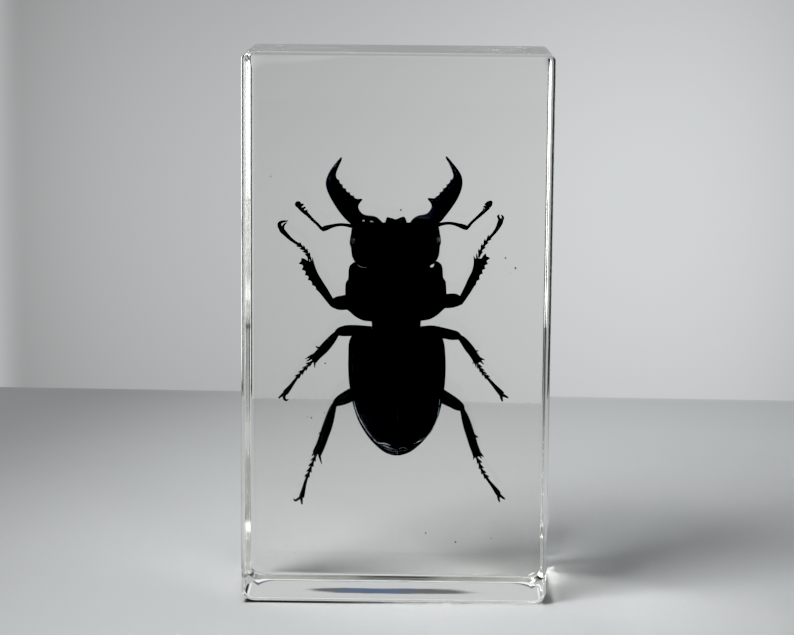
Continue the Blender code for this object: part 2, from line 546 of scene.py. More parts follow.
ARMOUR = chitin("black_chitin", (0.0022, 0.0023, 0.0034), ior=1.05)
HORN = chitin("jaw_chitin", (0.0095, 0.0095, 0.0130), rough=(0.18, 0.30), pit_scale=7000.0)
LIMB = chitin("leg_chitin", (0.0036, 0.0036, 0.0044), rough=(0.25, 0.40), pit_scale=8200.0, warm=0.0006, ior=1.05)
UNDER = chitin("underside_chitin", (0.0060, 0.0052, 0.0052), rough=(0.28, 0.42), pit_scale=6200.0, warm=0.002)
BRISTLE = chitin("brown_bristle", (0.020, 0.012, 0.007), rough=(0.35, 0.55), pit_scale=9000.0, warm=0.004)
EYES = eye_surface()


# ------------------------------------------------------------------ head
def head():
    left = [(-4.9, 13.42), (-5.45, 13.1), (-5.76, 12.7), (-5.84, 12.3), (-5.90, 11.9), (-5.97, 11.55), (-6.03, 11.15), (-6.07, 10.85), (-6.04, 10.56),
            (-5.92, 10.26), (-5.88, 9.95), (-5.82, 9.4), (-5.74, 8.95), (-5.60, 8.68), (-5.50, 8.42), (-5.34, 8.24), (-5.12, 8.04),
            (-4.82, 7.72), (-4.26, 7.54), (-3.73, 7.53), (-3.45, 7.30), (-3.2, 6.9), (-2.2, 6.6), (-0.8, 6.5)]
    right = [(0.8, 6.5), (2.2, 6.6), (3.2, 6.9), (3.6, 7.20), (4.1, 7.34), (4.46, 7.48), (4.60, 7.60), (4.74, 7.74), (4.92, 7.82), (5.08, 7.86), (5.20, 7.98), (5.36, 8.26), (5.52, 8.44),
             (5.62, 8.68), (5.74, 8.95), (5.82, 9.4), (5.88, 9.95), (5.92, 10.26), (6.02, 10.56), (6.05, 10.85), (6.02, 11.15), (5.97, 11.55),
             (5.90, 11.9), (5.84, 12.3), (5.76, 12.7), (5.45, 13.1), (4.9, 13.42)]
    front = [(4.1, 13.58), (3.3, 13.55), (2.4, 13.42), (1.7, 13.40), (0.9, 13.52), (0.0, 13.55), (-0.9, 13.52), (-1.7, 13.42), (-2.4, 13.45),
             (-3.2, 13.55), (-4.1, 13.66)]
    outline = left + right + front

    def top(p, d):
        u, v = p.T
        a = np.abs(u)
        side = 1 - 0.28 * (a / 6.0) ** 2
        w = -0.25 + 2.05 * dome(d, 1.5) * side
        w -= 0.55 * bell(u, 0, 2.6) * blend(v, 10.2, 12.8) * dome(d, 0.5)           # the hollow forehead
        w += 0.16 * bell(a, 1.5, 0.45) * bell(v, 11.7, 0.4)                          # two low tubercles
        w += 0.26 * bell(a, 5.05, 0.28) * blend(v, 9.8, 10.6) * blend(v, 12.6, 11.9) # bridges over the eyes
        w -= 0.18 * bell(a, 4.45, 0.35) * blend(v, 9.6, 10.6) * blend(v, 13.0, 12.2)
        w -= 0.14 * bell(v, 8.9 + 0.05 * a, 0.35) * blend(a, 1.0, 3.5) * dome(d, 0.6)
        w -= 0.25 * blend(v, 8.2, 6.6) * dome(d, 0.5)
        w -= 0.035 * pits(u, v, 0.30, 0.085, 1.0) * blend(d, 0.15, 0.5) * (0.4 + 0.6 * blend(a, 2.0, 4.5))
        w -= 0.015 * pits(u, v, 0.19, 0.055, 4.0) * blend(d, 0.15, 0.5)
        return w + 0.02 * swell(u, v, 1.3, 0.4) * blend(d, 0.1, 0.6)

    def bottom(p, d):
        u, v = p.T
        a = np.abs(u)
        w = -0.25 - 1.75 * dome(d, 1.3) * (1 - 0.2 * (a / 6.0) ** 2)
        w += 0.12 * bell(a, 2.1, 0.16) * blend(v, 12.6, 11.6)                        # seams beside the throat plate
        w += 0.40 * blend(v, 12.0, 13.2) * bell(u, 0, 2.6) * dome(d, 0.5)
        w += 0.022 * pits(u, v, 0.34, 0.09, 2.0) * blend(d, 0.15, 0.5)
        return w

    Shape().add(pillow(outline, top, bottom, 0.085, 1.3)).make("head_capsule", ARMOUR)

    lip = [(-1.28, 13.35), (-1.18, 13.95), (-1.02, 14.13), (-0.72, 14.06), (-0.39, 13.98), (0.05, 13.84), (0.45, 13.97), (0.79, 14.10),
           (1.14, 14.17), (1.34, 13.95), (1.48, 13.35), (0.8, 13.1), (-0.7, 13.1)]

    def lip_top(p, d):
        u, v = p.T
        return 0.15 + 0.34 * dome(d, 0.45) + 0.06 * bell(u, 0.1, 0.25) - 0.03 * pits(u, v, 0.22, 0.06, 3.0) * blend(d, 0.1, 0.3)

    shape = Shape().add(pillow(lip, lip_top, lambda p, d: 0.15 - 0.30 * dome(d, 0.45), 0.06, 0.45))
    shape.make("labrum", HORN)

    for side, name in ((-1, "eye_left"), (1, "eye_right")):
        rows = []
        for k in range(11):
            s = -1 + 2 * k / 10
            size = math.sqrt(max(1 - s * s, 0.0))
            rows.append((side * (5.23 + 0.02 * size), 10.98 + 0.72 * s, 0.42, 1.16 * size + 0.10, 1.50 * size + 0.10))

        def facets(s, turn):
            return 1 + 0.012 * np.cos(turn * 22 + (math.pi if int(s * 40) % 2 else 0.0)) * math.sin(math.pi * s)

        Shape().add(tube(rows, sides=44, spacing=0.045, ends=(0.4, 0.4), relief=facets)).make(name, EYES)


def jaws():
    """Two long toothed mandibles: thick at the hinge, flattening to blunt hooked tips."""
    left = [(-5.82, 13.22), (-6.28, 13.62), (-6.75, 14.1), (-7.42, 14.93), (-8.08, 15.94), (-8.68, 17.03), (-9.02, 17.9), (-9.14, 18.71),
            (-9.0, 19.38), (-8.59, 20.26), (-7.9, 21.19), (-7.24, 21.93), (-7.08, 22.05), (-6.97, 22.0), (-6.98, 21.86), (-7.04, 21.60), (-7.28, 21.10),
            (-7.57, 20.45), (-7.74, 19.95), (-7.76, 19.62), (-7.64, 19.24), (-7.54, 19.14), (-7.36, 19.10), (-7.31, 19.02), (-7.33, 18.82), (-7.22, 18.64), (-7.10, 18.54),
            (-6.93, 18.50), (-6.89, 18.42), (-6.92, 18.24), (-6.84, 18.08), (-6.68, 17.98), (-6.47, 17.96), (-6.43, 17.88), (-6.48, 17.72), (-6.36, 17.56), (-6.20, 17.46),
            (-5.96, 17.44), (-5.92, 17.36), (-5.95, 17.22), (-5.80, 17.08), (-5.66, 17.01), (-5.44, 17.01), (-5.40, 16.93), (-5.42, 16.80), (-5.24, 16.66), (-4.90, 16.57),
            (-4.58, 16.60), (-4.40, 16.57), (-4.33, 16.48), (-4.37, 16.36), (-4.62, 16.08), (-4.80, 15.80), (-4.87, 15.51), (-4.72, 15.1), (-4.31, 14.62), (-3.78, 14.42), (-2.96, 14.32), (-2.43, 14.14),
            (-2.02, 13.79), (-1.66, 13.36), (-1.9, 13.1), (-2.5, 13.2), (-2.80, 13.42), (-2.98, 13.60), (-3.14, 13.62), (-3.30, 13.66), (-3.40, 13.50), (-3.9, 13.46), (-4.05, 13.72), (-4.17, 13.80), (-4.30, 13.74), (-4.4, 13.45),
            (-4.7, 12.9), (-5.3, 12.7)]
    right = [(5.78, 13.24), (6.24, 13.66), (6.73, 14.26), (7.55, 15.34), (8.24, 16.4), (8.72, 17.49), (8.90, 18.42), (8.8, 19.31),
             (8.34, 20.19), (7.58, 21.15), (6.96, 21.88), (6.80, 21.98), (6.69, 21.93), (6.71, 21.80), (6.81, 21.55), (7.10, 21.10), (7.44, 20.33),
             (7.64, 19.75), (7.69, 19.42), (7.60, 19.06), (7.50, 18.97), (7.31, 18.94), (7.26, 18.86), (7.27, 18.66), (7.14, 18.48), (7.02, 18.37), (6.82, 18.33), (6.78, 18.25),
             (6.81, 18.07), (6.68, 17.93), (6.56, 17.84), (6.33, 17.82), (6.30, 17.74), (6.34, 17.56), (6.22, 17.42), (6.10, 17.34), (5.89, 17.31), (5.85, 17.23), (5.88, 17.05),
             (5.70, 16.89), (5.58, 16.80), (5.35, 16.78), (5.32, 16.70), (5.34, 16.60), (5.05, 16.52), (4.70, 16.56), (4.44, 16.58), (4.30, 16.50), (4.34, 16.34), (4.60, 16.04),
             (4.77, 15.72), (4.80, 15.38),
             (4.5, 14.82), (4.02, 14.48), (3.08, 14.29), (2.53, 14.02), (2.15, 13.66), (1.95, 13.3), (2.2, 13.05), (2.9, 13.15), (3.6, 13.1),
             (4.4, 12.95), (5.2, 12.7)]

    def top(p, d):
        u, v = p.T
        a = np.abs(u)
        tall = np.interp(v, [12.7, 14.0, 16.5, 19.0, 22.0], [1.05, 0.95, 0.74, 0.58, 0.42])
        w = 0.22 + 0.02 * (v - 13) + tall * dome(d, 0.95)
        w += 0.14 * bell(d, 0.62, 0.22) * blend(v, 13.6, 15.5) * blend(v, 21.0, 19.0)      # the rounded back of the jaw
        w -= 0.10 * blend(d, 0.35, 0.9) * blend(a, 7.0, 5.0) * blend(v, 14.4, 15.4) * blend(v, 18.5, 17.0)
        return w - 0.018 * pits(u, v, 0.24, 0.065, 6.0) * blend(d, 0.12, 0.4)

    def bottom(p, d):
        u, v = p.T
        tall = np.interp(v, [12.7, 14.0, 16.5, 19.0, 22.0], [0.95, 0.85, 0.66, 0.50, 0.36])
        return 0.22 + 0.02 * (v - 13) - tall * dome(d, 0.95)

    for name, outline in (("mandible_left", left), ("mandible_right", right)):
        Shape().add(pillow(outline, top, bottom, 0.06, 0.9)).make(name, HORN)


def mouthparts():
    """Lower lip, feelers and brushes, folded under the head, out of sight from the front."""
    shape = Shape()
    plate = [(-2.1, 10.4), (-2.3, 11.6), (-1.9, 12.7), (-0.9, 13.1), (0.0, 12.9), (0.9, 13.1), (1.9, 12.7), (2.3, 11.6), (2.1, 10.4), (0, 10.1)]

    def plate_low(p, d):
        u, v = p.T
        return -1.75 - 0.42 * dome(d, 0.6) + 0.03 * pits(u, v, 0.3, 0.08, 5.0) * blend(d, 0.1, 0.4)

    shape.add(pillow(plate, lambda p, d: -1.75 + 0.2 * dome(d, 0.4), plate_low, 0.09, 0.6))
    for s in (-1, 1):
        joints = [(s * 2.2, 12.4, -1.75), (s * 2.9, 12.75, -1.85), (s * 3.5, 12.7, -1.95), (s * 3.95, 12.3, -2.0), (s * 4.1, 11.75, -2.0)]
        for k, (a, b) in enumerate(zip(joints, joints[1:])):
            mid = tuple((x + y) / 2 for x, y in zip(a, b))
            shape.add(tube([(*a, 0.20, 0.20), (*mid, 0.30, 0.28), (*b, 0.34 - 0.02 * k, 0.30)], sides=16, spacing=0.05))
        joints = [(s * 0.8, 12.7, -1.95), (s * 1.15, 12.95, -2.05), (s * 1.5, 12.85, -2.1), (s * 1.7, 12.5, -2.15)]
        for a, b in zip(joints, joints[1:]):
            shape.add(tube([(*a, 0.16, 0.16), (*b, 0.26, 0.24)], sides=14, spacing=0.05))
        for k in range(9):
            shape.add(spine((s * (0.35 + 0.12 * k), 12.75), (s * (0.28 + 0.15 * k), 13.25 - 0.03 * k), 0.05, -1.75, -1.72))
    shape.make("mouthparts", BRISTLE)


def antennae():
    """Elbowed: one long scape, six small beads and a comb-like club."""
    left = dict(
        scape=[(-5.30, 12.86, 0.34), (-5.67, 12.98, 0.34), (-6.16, 13.09, 0.30), (-6.68, 13.18, 0.24), (-7.20, 13.22, 0.24), (-7.73, 13.18, 0.26),
               (-8.24, 13.07, 0.30), (-8.74, 12.93, 0.39), (-9.24, 12.78, 0.50), (-9.55, 12.66, 0.44)],
        beads=[(-9.70, 12.62), (-10.0, 12.98), (-10.35, 13.37), (-10.75, 13.74), (-11.12, 14.08), (-11.46, 14.48), (-11.78, 14.80)],
        axis=[(-11.78, 14.70), (-12.1, 14.98), (-12.45, 15.33), (-12.72, 15.68), (-12.88, 16.02)],
        leaves=[((-12.02, 14.98), (-11.66, 15.12)), ((-12.36, 15.32), (-11.93, 15.52)), ((-12.66, 15.68), (-12.20, 15.93))],
        knob=[(-12.86, 15.82), (-12.80, 16.10)])
    right = dict(
        scape=[(5.35, 12.90, 0.34), (5.72, 13.01, 0.34), (6.04, 13.10, 0.29), (6.59, 13.20, 0.24), (7.13, 13.22, 0.23), (7.73, 13.14, 0.25),
               (8.25, 12.99, 0.31), (8.76, 12.82, 0.43), (9.20, 12.66, 0.46), (9.42, 12.58, 0.42)],
        beads=[(9.56, 12.58), (9.84, 12.98), (10.18, 13.36), (10.58, 13.70), (10.96, 14.02), (11.34, 14.36), (11.68, 14.66)],
        axis=[(11.66, 14.64), (12.0, 14.92), (12.3, 15.22), (12.52, 15.55), (12.60, 15.86)],
        leaves=[((11.92, 14.88), (11.66, 15.02)), ((12.2, 15.2), (11.74, 15.33)), ((12.4, 15.52), (11.92, 15.66))],
        knob=[(12.46, 15.50), (12.30, 15.78)])
    for name, part in (("antenna_left", left), ("antenna_right", right)):
        shape = Shape()
        w = -0.30
        shape.add(tube([(u, v, w - 0.02 * k, 0.12 + width * 1.15, 0.10 + width) for k, (u, v, width) in enumerate(part["scape"])], sides=20, spacing=0.05))
        beads = part["beads"]
        for k, (a, b) in enumerate(zip(beads, beads[1:])):
            size = (0.42, 0.40, 0.40, 0.42, 0.46, 0.50)[k]
            m = ((a[0] + b[0]) / 2, (a[1] + b[1]) / 2)
            wa, wb = -0.52 - 0.02 * k, -0.54 - 0.02 * k
            shape.add(tube([(*a, wa, size * 0.74, size * 0.74), (*m, (wa + wb) / 2, size * 0.95, size * 0.95), (*b, wb, size, size)],
                           sides=18, spacing=0.035, ends=(0.5, 0.55)))
        axis = part["axis"]
        shape.add(tube([(u, v, -0.66, s, s) for (u, v), s in zip(axis, (0.40, 0.44, 0.46, 0.50, 0.56))], sides=18, spacing=0.05))
        for (a, b), s in zip(part["leaves"], (0.28, 0.30, 0.34)):
            m = ((a[0] * 0.45 + b[0] * 0.55), (a[1] * 0.45 + b[1] * 0.55))
            shape.add(tube([(*a, -0.66, s * 1.2, 0.36), (*m, -0.66, s, 0.44), (*b, -0.66, s * 0.85, 0.36)], sides=20, spacing=0.04, ends=(0.6, 0.8)))
        a, b = part["knob"]
        shape.add(tube([(*a, -0.66, 0.74, 0.54), (*((np.array(a) + b) / 2), -0.66, 0.90, 0.64), (*b, -0.66, 0.74, 0.54)], sides=24, spacing=0.04))
        for k in range(6):
            a = math.radians(60 * k)
            base = np.array(beads[1 + k % 5])
            shape.add(spine(base, base + 0.22 * np.array((math.cos(a), math.sin(a))), 0.018, -0.56, -0.50, sides=6))
        shape.make(name, LIMB)


# ------------------------------------------------------------------ body
def chest():
    left = [(-1.5, 7.60), (-2.9, 7.54), (-3.30, 7.56), (-3.73, 7.54), (-4.30, 7.525), (-4.82, 7.69), (-5.10, 8.00), (-5.28, 8.22), (-5.48, 8.26), (-5.72, 8.10), (-5.94, 7.93),
            (-6.10, 7.70), (-6.20, 7.42), (-6.26, 6.83), (-6.27, 6.43), (-6.32, 6.03), (-6.40, 5.88), (-6.52, 5.74), (-6.62, 5.55), (-6.67, 5.23), (-6.70, 4.83),
            (-6.72, 4.04), (-6.74, 3.1), (-6.73, 2.5), (-6.66, 2.22), (-6.50, 1.98), (-6.27, 1.76), (-5.96, 1.50), (-5.69, 1.23), (-5.34, 0.97),
            (-4.87, 0.70), (-4.35, 0.48), (-3.3, 0.34), (-2.0, 0.20), (0.0, 0.14)]
    right = [(2.0, 0.20), (3.3, 0.34), (4.38, 0.50), (4.88, 0.71), (5.34, 0.98), (5.71, 1.24), (5.98, 1.51), (6.29, 1.78), (6.53, 2.0), (6.68, 2.24),
             (6.73, 2.5), (6.75, 3.1), (6.72, 4.04), (6.70, 4.83), (6.67, 5.23), (6.61, 5.58), (6.50, 5.76), (6.38, 5.90), (6.31, 6.06), (6.27, 6.43),
             (6.26, 6.83), (6.20, 7.42), (6.10, 7.70), (5.94, 7.93), (5.72, 8.10), (5.45, 8.24), (5.26, 8.16), (5.16, 8.00), (5.12, 7.80), (5.04, 7.58), (4.90, 7.44), (4.74, 7.41), (4.62, 7.48),
             (4.52, 7.60), (4.1, 7.60), (3.6, 7.50), (2.6, 7.52), (1.5, 7.60), (0.0, 7.66)]

    def top(p, d):
        u, v = p.T
        arch = 1 - 0.16 * (np.abs(u) / 6.7) ** 2
        long = 1 - 0.10 * ((v - 3.8) / 3.9) ** 2
        w = -0.55 + 0.22 * dome(d, 0.20) - 0.06 * bell(d, 0.42, 0.10)
        w += 2.45 * dome(np.maximum(d - 0.38, 0), 3.1) ** 0.9 * arch * long
        w -= 0.05 * bell(u, 0.0, 0.10) * blend(v, 0.9, 1.8) * blend(v, 6.8, 5.9)             # a fine middle line
        w -= 0.14 * bell(np.abs(u), 3.1, 0.35) * bell(v, 3.5, 0.32)                           # shallow pits either side
        w -= 0.10 * bell(np.abs(u), 4.6, 0.7) * bell(v, 5.4, 0.4)
        fade = blend(d, 0.45, 0.9)
        w -= 0.022 * pits(u, v, 0.27, 0.07, 7.0) * fade * (0.25 + 0.75 * blend(np.abs(u), 3.5, 5.8))
        w -= 0.008 * pits(u, v, 0.17, 0.05, 9.0) * fade
        return w + 0.02 * swell(u, v, 1.6, 1.4) * fade

    def bottom(p, d):
        u, v = p.T
        w = -0.55 - 0.55 * dome(d, 0.8) - 0.5 * blend(d, 0.6, 3.0)
        return w + 0.02 * pits(u, v, 0.3, 0.08, 11.0) * blend(d, 0.2, 0.6)

    Shape().add(pillow(left + right[::1], top, bottom, 0.085, 0.9)).make("pronotum", ARMOUR)

    shape = Shape()
    plate = [(-5.6, 2.1), (-5.9, 3.6), (-5.6, 5.4), (-4.6, 6.7), (-3.2, 7.15), (0, 7.05), (3.2, 7.15), (4.6, 6.7), (5.6, 5.4), (5.9, 3.6), (5.6, 2.1),
             (4.4, 1.15), (2.6, 0.75), (0, 0.65), (-2.6, 0.75), (-4.4, 1.15)]

    def under(p, d):
        u, v = p.T
        a = np.abs(u)
        w = -1.15 - 1.05 * dome(d, 2.0)
        w += 0.55 * bell(v, 2.55, 0.75) * blend(a, 4.9, 3.9) * blend(a, 0.35, 0.8)            # sockets of the fore hips
        w -= 0.30 * bell(u, 0.0, 0.38) * blend(v, 5.2, 3.6) * blend(v, 0.8, 1.5)              # the keel between them
        w += 0.10 * bell(a - 0.25 * (v - 4), 4.6, 0.09)                                       # side seams
        return w + 0.03 * pits(u, v, 0.3, 0.08, 12.0) * blend(d, 0.2, 0.6)

    shape.add(pillow(plate, lambda p, d: -1.15 + 0.3 * dome(d, 0.5), under, 0.09, 1.2))
    for s in (-1, 1):
        shape.add(tube([(s * 0.75, 2.6, -1.9, 1.0, 0.9), (s * 1.8, 2.65, -2.0, 1.35, 1.15), (s * 3.4, 2.8, -1.85, 1.15, 1.0), (s * 4.4, 2.9, -1.6, 0.8, 0.7)],
                       sides=28, spacing=0.1))
    shape.make("prosternum", UNDER)

    neck = [(-3.22, 0.75), (-3.26, 0.30), (-3.22, -0.25), (-3.4, -0.9), (0, -1.1), (3.4, -0.9), (3.28, -0.25), (3.32, 0.30), (3.28, 0.75), (0, 0.9)]

    def neck_top(p, d):
        u, v = p.T
        return -0.5 + 1.25 * dome(d, 1.6) - 0.05 * np.sin(v * 16) * bell(u, 0, 3) * blend(d, 0.1, 0.4)

    Shape().add(pillow(neck, neck_top, lambda p, d: -0.5 - 1.2 * dome(d, 1.4), 0.085, 1.0)).make("mesothorax_neck", UNDER)


MID_U = ([-18.0, -17.2, -15.0, -12.6, -9.0, -4.0, 0.0], [0.03, 0.06, 0.14, 0.14, 0.08, 0.08, 0.02])


def vault(v):
    """Height of the wing cases' back above their margins, along the body."""
    return np.interp(v, [-17.8, -17.4, -16.8, -16.0, -15.0, -13.8, -12.5, -11.0, -9.5, -8.0, -6.5, -5.0, -3.6, -2.4, -1.4, -0.8, -0.3],
                     [1.5, 1.72, 1.98, 2.28, 2.58, 2.86, 3.08, 3.26, 3.38, 3.44, 3.45, 3.40, 3.28, 3.08, 2.76, 2.45, 2.2])


# where the resin has drawn away from the wing cases as it set and left a thin gap, whose silvery glint is painted into
# the colour of a sheet laid there: (u, v, width) rows
FILMS = {
    (-1, "line"): [[(-5.70, -10.3, 0.05), (-5.47, -11.3, 0.09), (-5.23, -11.98, 0.10), (-4.80, -12.95, 0.12), (-4.24, -13.92, 0.13), (-3.64, -14.79, 0.13), (-3.0, -15.57, 0.14),
                    (-2.49, -15.93, 0.17), (-1.90, -16.0, 0.20), (-1.35, -16.12, 0.14), (-0.9, -16.32, 0.06)]],
    (-1, "patch"): [[(-2.0, -16.28, 0.20), (-1.5, -16.36, 0.34), (-1.0, -16.56, 0.42), (-0.5, -16.80, 0.34), (-0.08, -16.90, 0.26)],
                    [(-1.62, -16.66, 0.14), (-1.1, -16.88, 0.22), (-0.55, -17.08, 0.22), (-0.12, -17.14, 0.12)]],
    (1, "line"): [[(3.75, -15.36, 0.05), (3.25, -15.70, 0.12), (2.75, -15.92, 0.16), (2.30, -16.10, 0.07)],
                  [(5.76, -10.2, 0.05), (5.70, -11.14, 0.09), (5.54, -12.1, 0.10), (5.28, -13.06, 0.10), (4.88, -14.02, 0.09), (4.38, -14.79, 0.08), (4.0, -15.2, 0.05)]],
    (1, "patch"): [[(0.28, -16.80, 0.16), (0.66, -16.62, 0.22), (1.12, -16.66, 0.20), (1.50, -16.86, 0.10)],
                   [(0.34, -17.02, 0.16), (0.86, -16.96, 0.20), (1.34, -16.98, 0.08)]],
}
# painted glint brightness of each gap's sheet
FILM_PAINTED_GLINT = {(-1, "line"): 0.55, (-1, "patch"): 0.13, (1, "line"): 0.45, (1, "patch"): 0.08}


def painted_glint_surface(name, tone):
    """A thin gap in the resin, its silvery glint painted into its colour: cold silver, broken up by folds."""
    m = Nodes(name)
    where = m.add("TexCoord").outputs["Object"]
    cloud = m.add("TexNoise", {"Vector": where, "Scale": 1700.0, "Detail": 4.0, "Roughness": 0.65}).outputs["Fac"]
    colour = m.ramp(cloud, [(0.34, (tone * 0.12, tone * 0.14, tone * 0.18)), (0.50, (tone * 0.85, tone * 0.95, tone * 1.1)), (0.72, (tone * 1.5, tone * 1.6, tone * 1.7))])
    rough = m.add("MapRange", {"Value": cloud, "To Min": 0.25, "To Max": 0.5}).outputs["Result"]
    bump = m.add("Bump", {"Strength": 0.5, "Distance": 0.00002, "Height": cloud}).outputs["Normal"]
    shader = m.add("BsdfPrincipled", {"Base Color": colour, "Roughness": rough, "IOR": 1.2, "Normal": bump})
    m.link(shader.outputs["BSDF"], m.out.inputs["Surface"])
    return m.mat


def wing_cases():
    mid = lambda v: float(np.interp(v, MID_U[0], MID_U[1]))
    seam = [(mid(v), v) for v in (-0.42, -1.6, -3.2, -4.8, -6.4, -8.0, -9.6, -11.2, -12.8, -14.4, -15.6, -16.6, -17.30, -17.68)]
    left_rim = [(-3.3, -0.44), (-4.4, -0.66), (-5.3, -0.98), (-5.85, -1.45), (-6.15, -1.98), (-6.32, -2.55), (-6.37, -3.3), (-6.39, -4.1), (-6.42, -4.9),
                (-6.43, -5.7), (-6.41, -6.5), (-6.38, -7.3), (-6.29, -8.1), (-6.17, -9.0), (-6.0, -10.0), (-5.78, -11.0), (-5.48, -12.0),
                (-5.26, -12.65), (-5.15, -12.92), (-4.90, -13.45), (-4.60, -13.99), (-4.27, -14.52), (-3.91, -15.06), (-3.48, -15.6),
                (-2.99, -16.13), (-2.42, -16.67), (-2.04, -16.98), (-1.66, -17.24), (-1.28, -17.43), (-0.80, -17.60), (-0.40, -17.68), (-0.06, -17.71)]
    right_rim = [(3.3, -0.44), (4.4, -0.68), (5.3, -1.0), (5.88, -1.45), (6.18, -1.98), (6.37, -2.55), (6.50, -3.3), (6.55, -4.1), (6.59, -4.9),
                 (6.60, -5.7), (6.58, -6.5), (6.54, -7.3), (6.48, -8.1), (6.38, -8.9), (6.22, -10.0), (6.0, -11.0), (5.74, -12.0),
                 (5.52, -12.65), (5.40, -12.92), (5.15, -13.45), (4.88, -13.99), (4.56, -14.52), (4.18, -15.06), (3.72, -15.6), (3.21, -16.13),
                 (2.60, -16.67), (2.20, -16.98), (1.82, -17.22), (1.42, -17.41), (0.96, -17.56), (0.55, -17.66), (0.20, -17.71)]
    for side, name, rim in ((-1, "elytron_left", left_rim), (1, "elytron_right", right_rim)):
        base = [(side * 0.012 + seam[0][0], seam[0][1]), (side * 1.0, -0.40), (side * 2.2, -0.39)]
        inner = [(u + side * 0.012, v) for u, v in seam[::-1]]
        outline = base + rim + inner[:-1]
        margin = spline(rim, 0.08)
        join = spline(inner, 0.08)

        def surface(p, d, side=side, margin=margin, join=join):
            u, v = p.T
            out = gap(p, margin[:-1], margin[1:])
            seam_d = gap(p, join[:-1], join[1:])
            rise = dome(np.maximum(out - 0.46, 0.0), np.interp(v, [-17.5, -15, -12, -4, -1], [2.6, 4.2, 5.6, 6.0, 5.6]))
            w = -0.95 + (vault(v) - 0.05) * rise ** 0.92
            w += 0.16 * blend(out, 0.0, 0.10) * (1 - 0.55 * bell(out, 0.46, 0.13))            # the raised bead and its gutter
            w += 0.05 * bell(out, 0.16, 0.12)
            w += 0.035 * bell(seam_d, 0.14, 0.09) - 0.05 * bell(seam_d, 0.36, 0.10)           # the seam's own bead
            w -= 0.16 * blend(-v, 1.0, 0.45) * bell(np.abs(u), 2.2, 2.4)
            part = np.clip(seam_d / (seam_d + out + 1e-6), 0, 1)
            rows = np.cos(part * math.pi * 2 * 9)
            fade = blend(out, 0.7, 1.4) * blend(seam_d, 0.4, 0.9) * blend(-v, 0.9, 2.4)
            w -= 0.007 * np.clip(rows, 0, 1) ** 3 * (0.6 + 0.4 * np.cos(v * 2 * math.pi / 0.34)) * fade
            w -= 0.012 * pits(u, v, 0.23, 0.06, 13.0) * blend(out, 0.5, 0.9) * (0.3 + 0.7 * blend(out, 2.6, 0.9)) * blend(seam_d, 0.2, 0.4)
            return w + 0.012 * swell(u, v, 1.8, 2.0) * blend(out, 0.5, 1.2)

        def top(p, d):
            return surface(p, d) - 0.11 + 0.11 * dome(d, 0.14)

        def bottom(p, d):
            return surface(p, d) - 0.11 - 0.13 * dome(d, 0.14)

        Shape().add(pillow(outline, top, bottom, 0.082, 0.30, turns=4)).make(name, ARMOUR)
        # the thin gaps, each a sheet with its glint painted into its colour
        for kind in ("line", "patch"):
            film = Shape()
            for line in FILMS[side, kind]:
                height = surface(np.array([(u, v) for u, v, _ in line]), None) - 0.01
                film.add(tube([(u, v, w, wide, 0.09) for (u, v, wide), w in zip(line, height)], sides=12, spacing=0.05, ends=(0.8, 0.8)))
            film.make(name + "_film_" + kind, painted_glint_surface(name + "_" + kind, FILM_PAINTED_GLINT[side, kind]))

    plate = [(-1.05, -0.05), (-0.98, -0.55), (-0.72, -1.10), (-0.30, -1.62), (0.04, -1.80), (0.38, -1.62), (0.80, -1.10), (1.06, -0.55), (1.13, -0.05), (0.04, 0.12)]

    def plate_top(p, d):
        u, v = p.T
        lift = np.interp(v, [-1.8, -0.9, 0.1], [2.18, 1.86, 1.30])
        return lift + 0.20 * dome(d, 0.35) - 0.02 * pits(u, v, 0.24, 0.06, 15.0) * blend(d, 0.1, 0.3)

    def plate_low(p, d):
        return np.interp(p[:, 1], [-1.8, -0.9, 0.1], [2.18, 1.86, 1.30]) - 0.25 * dome(d, 0.35)

    Shape().add(pillow(plate, plate_top, plate_low, 0.06, 0.35)).make("scutellum", ARMOUR)


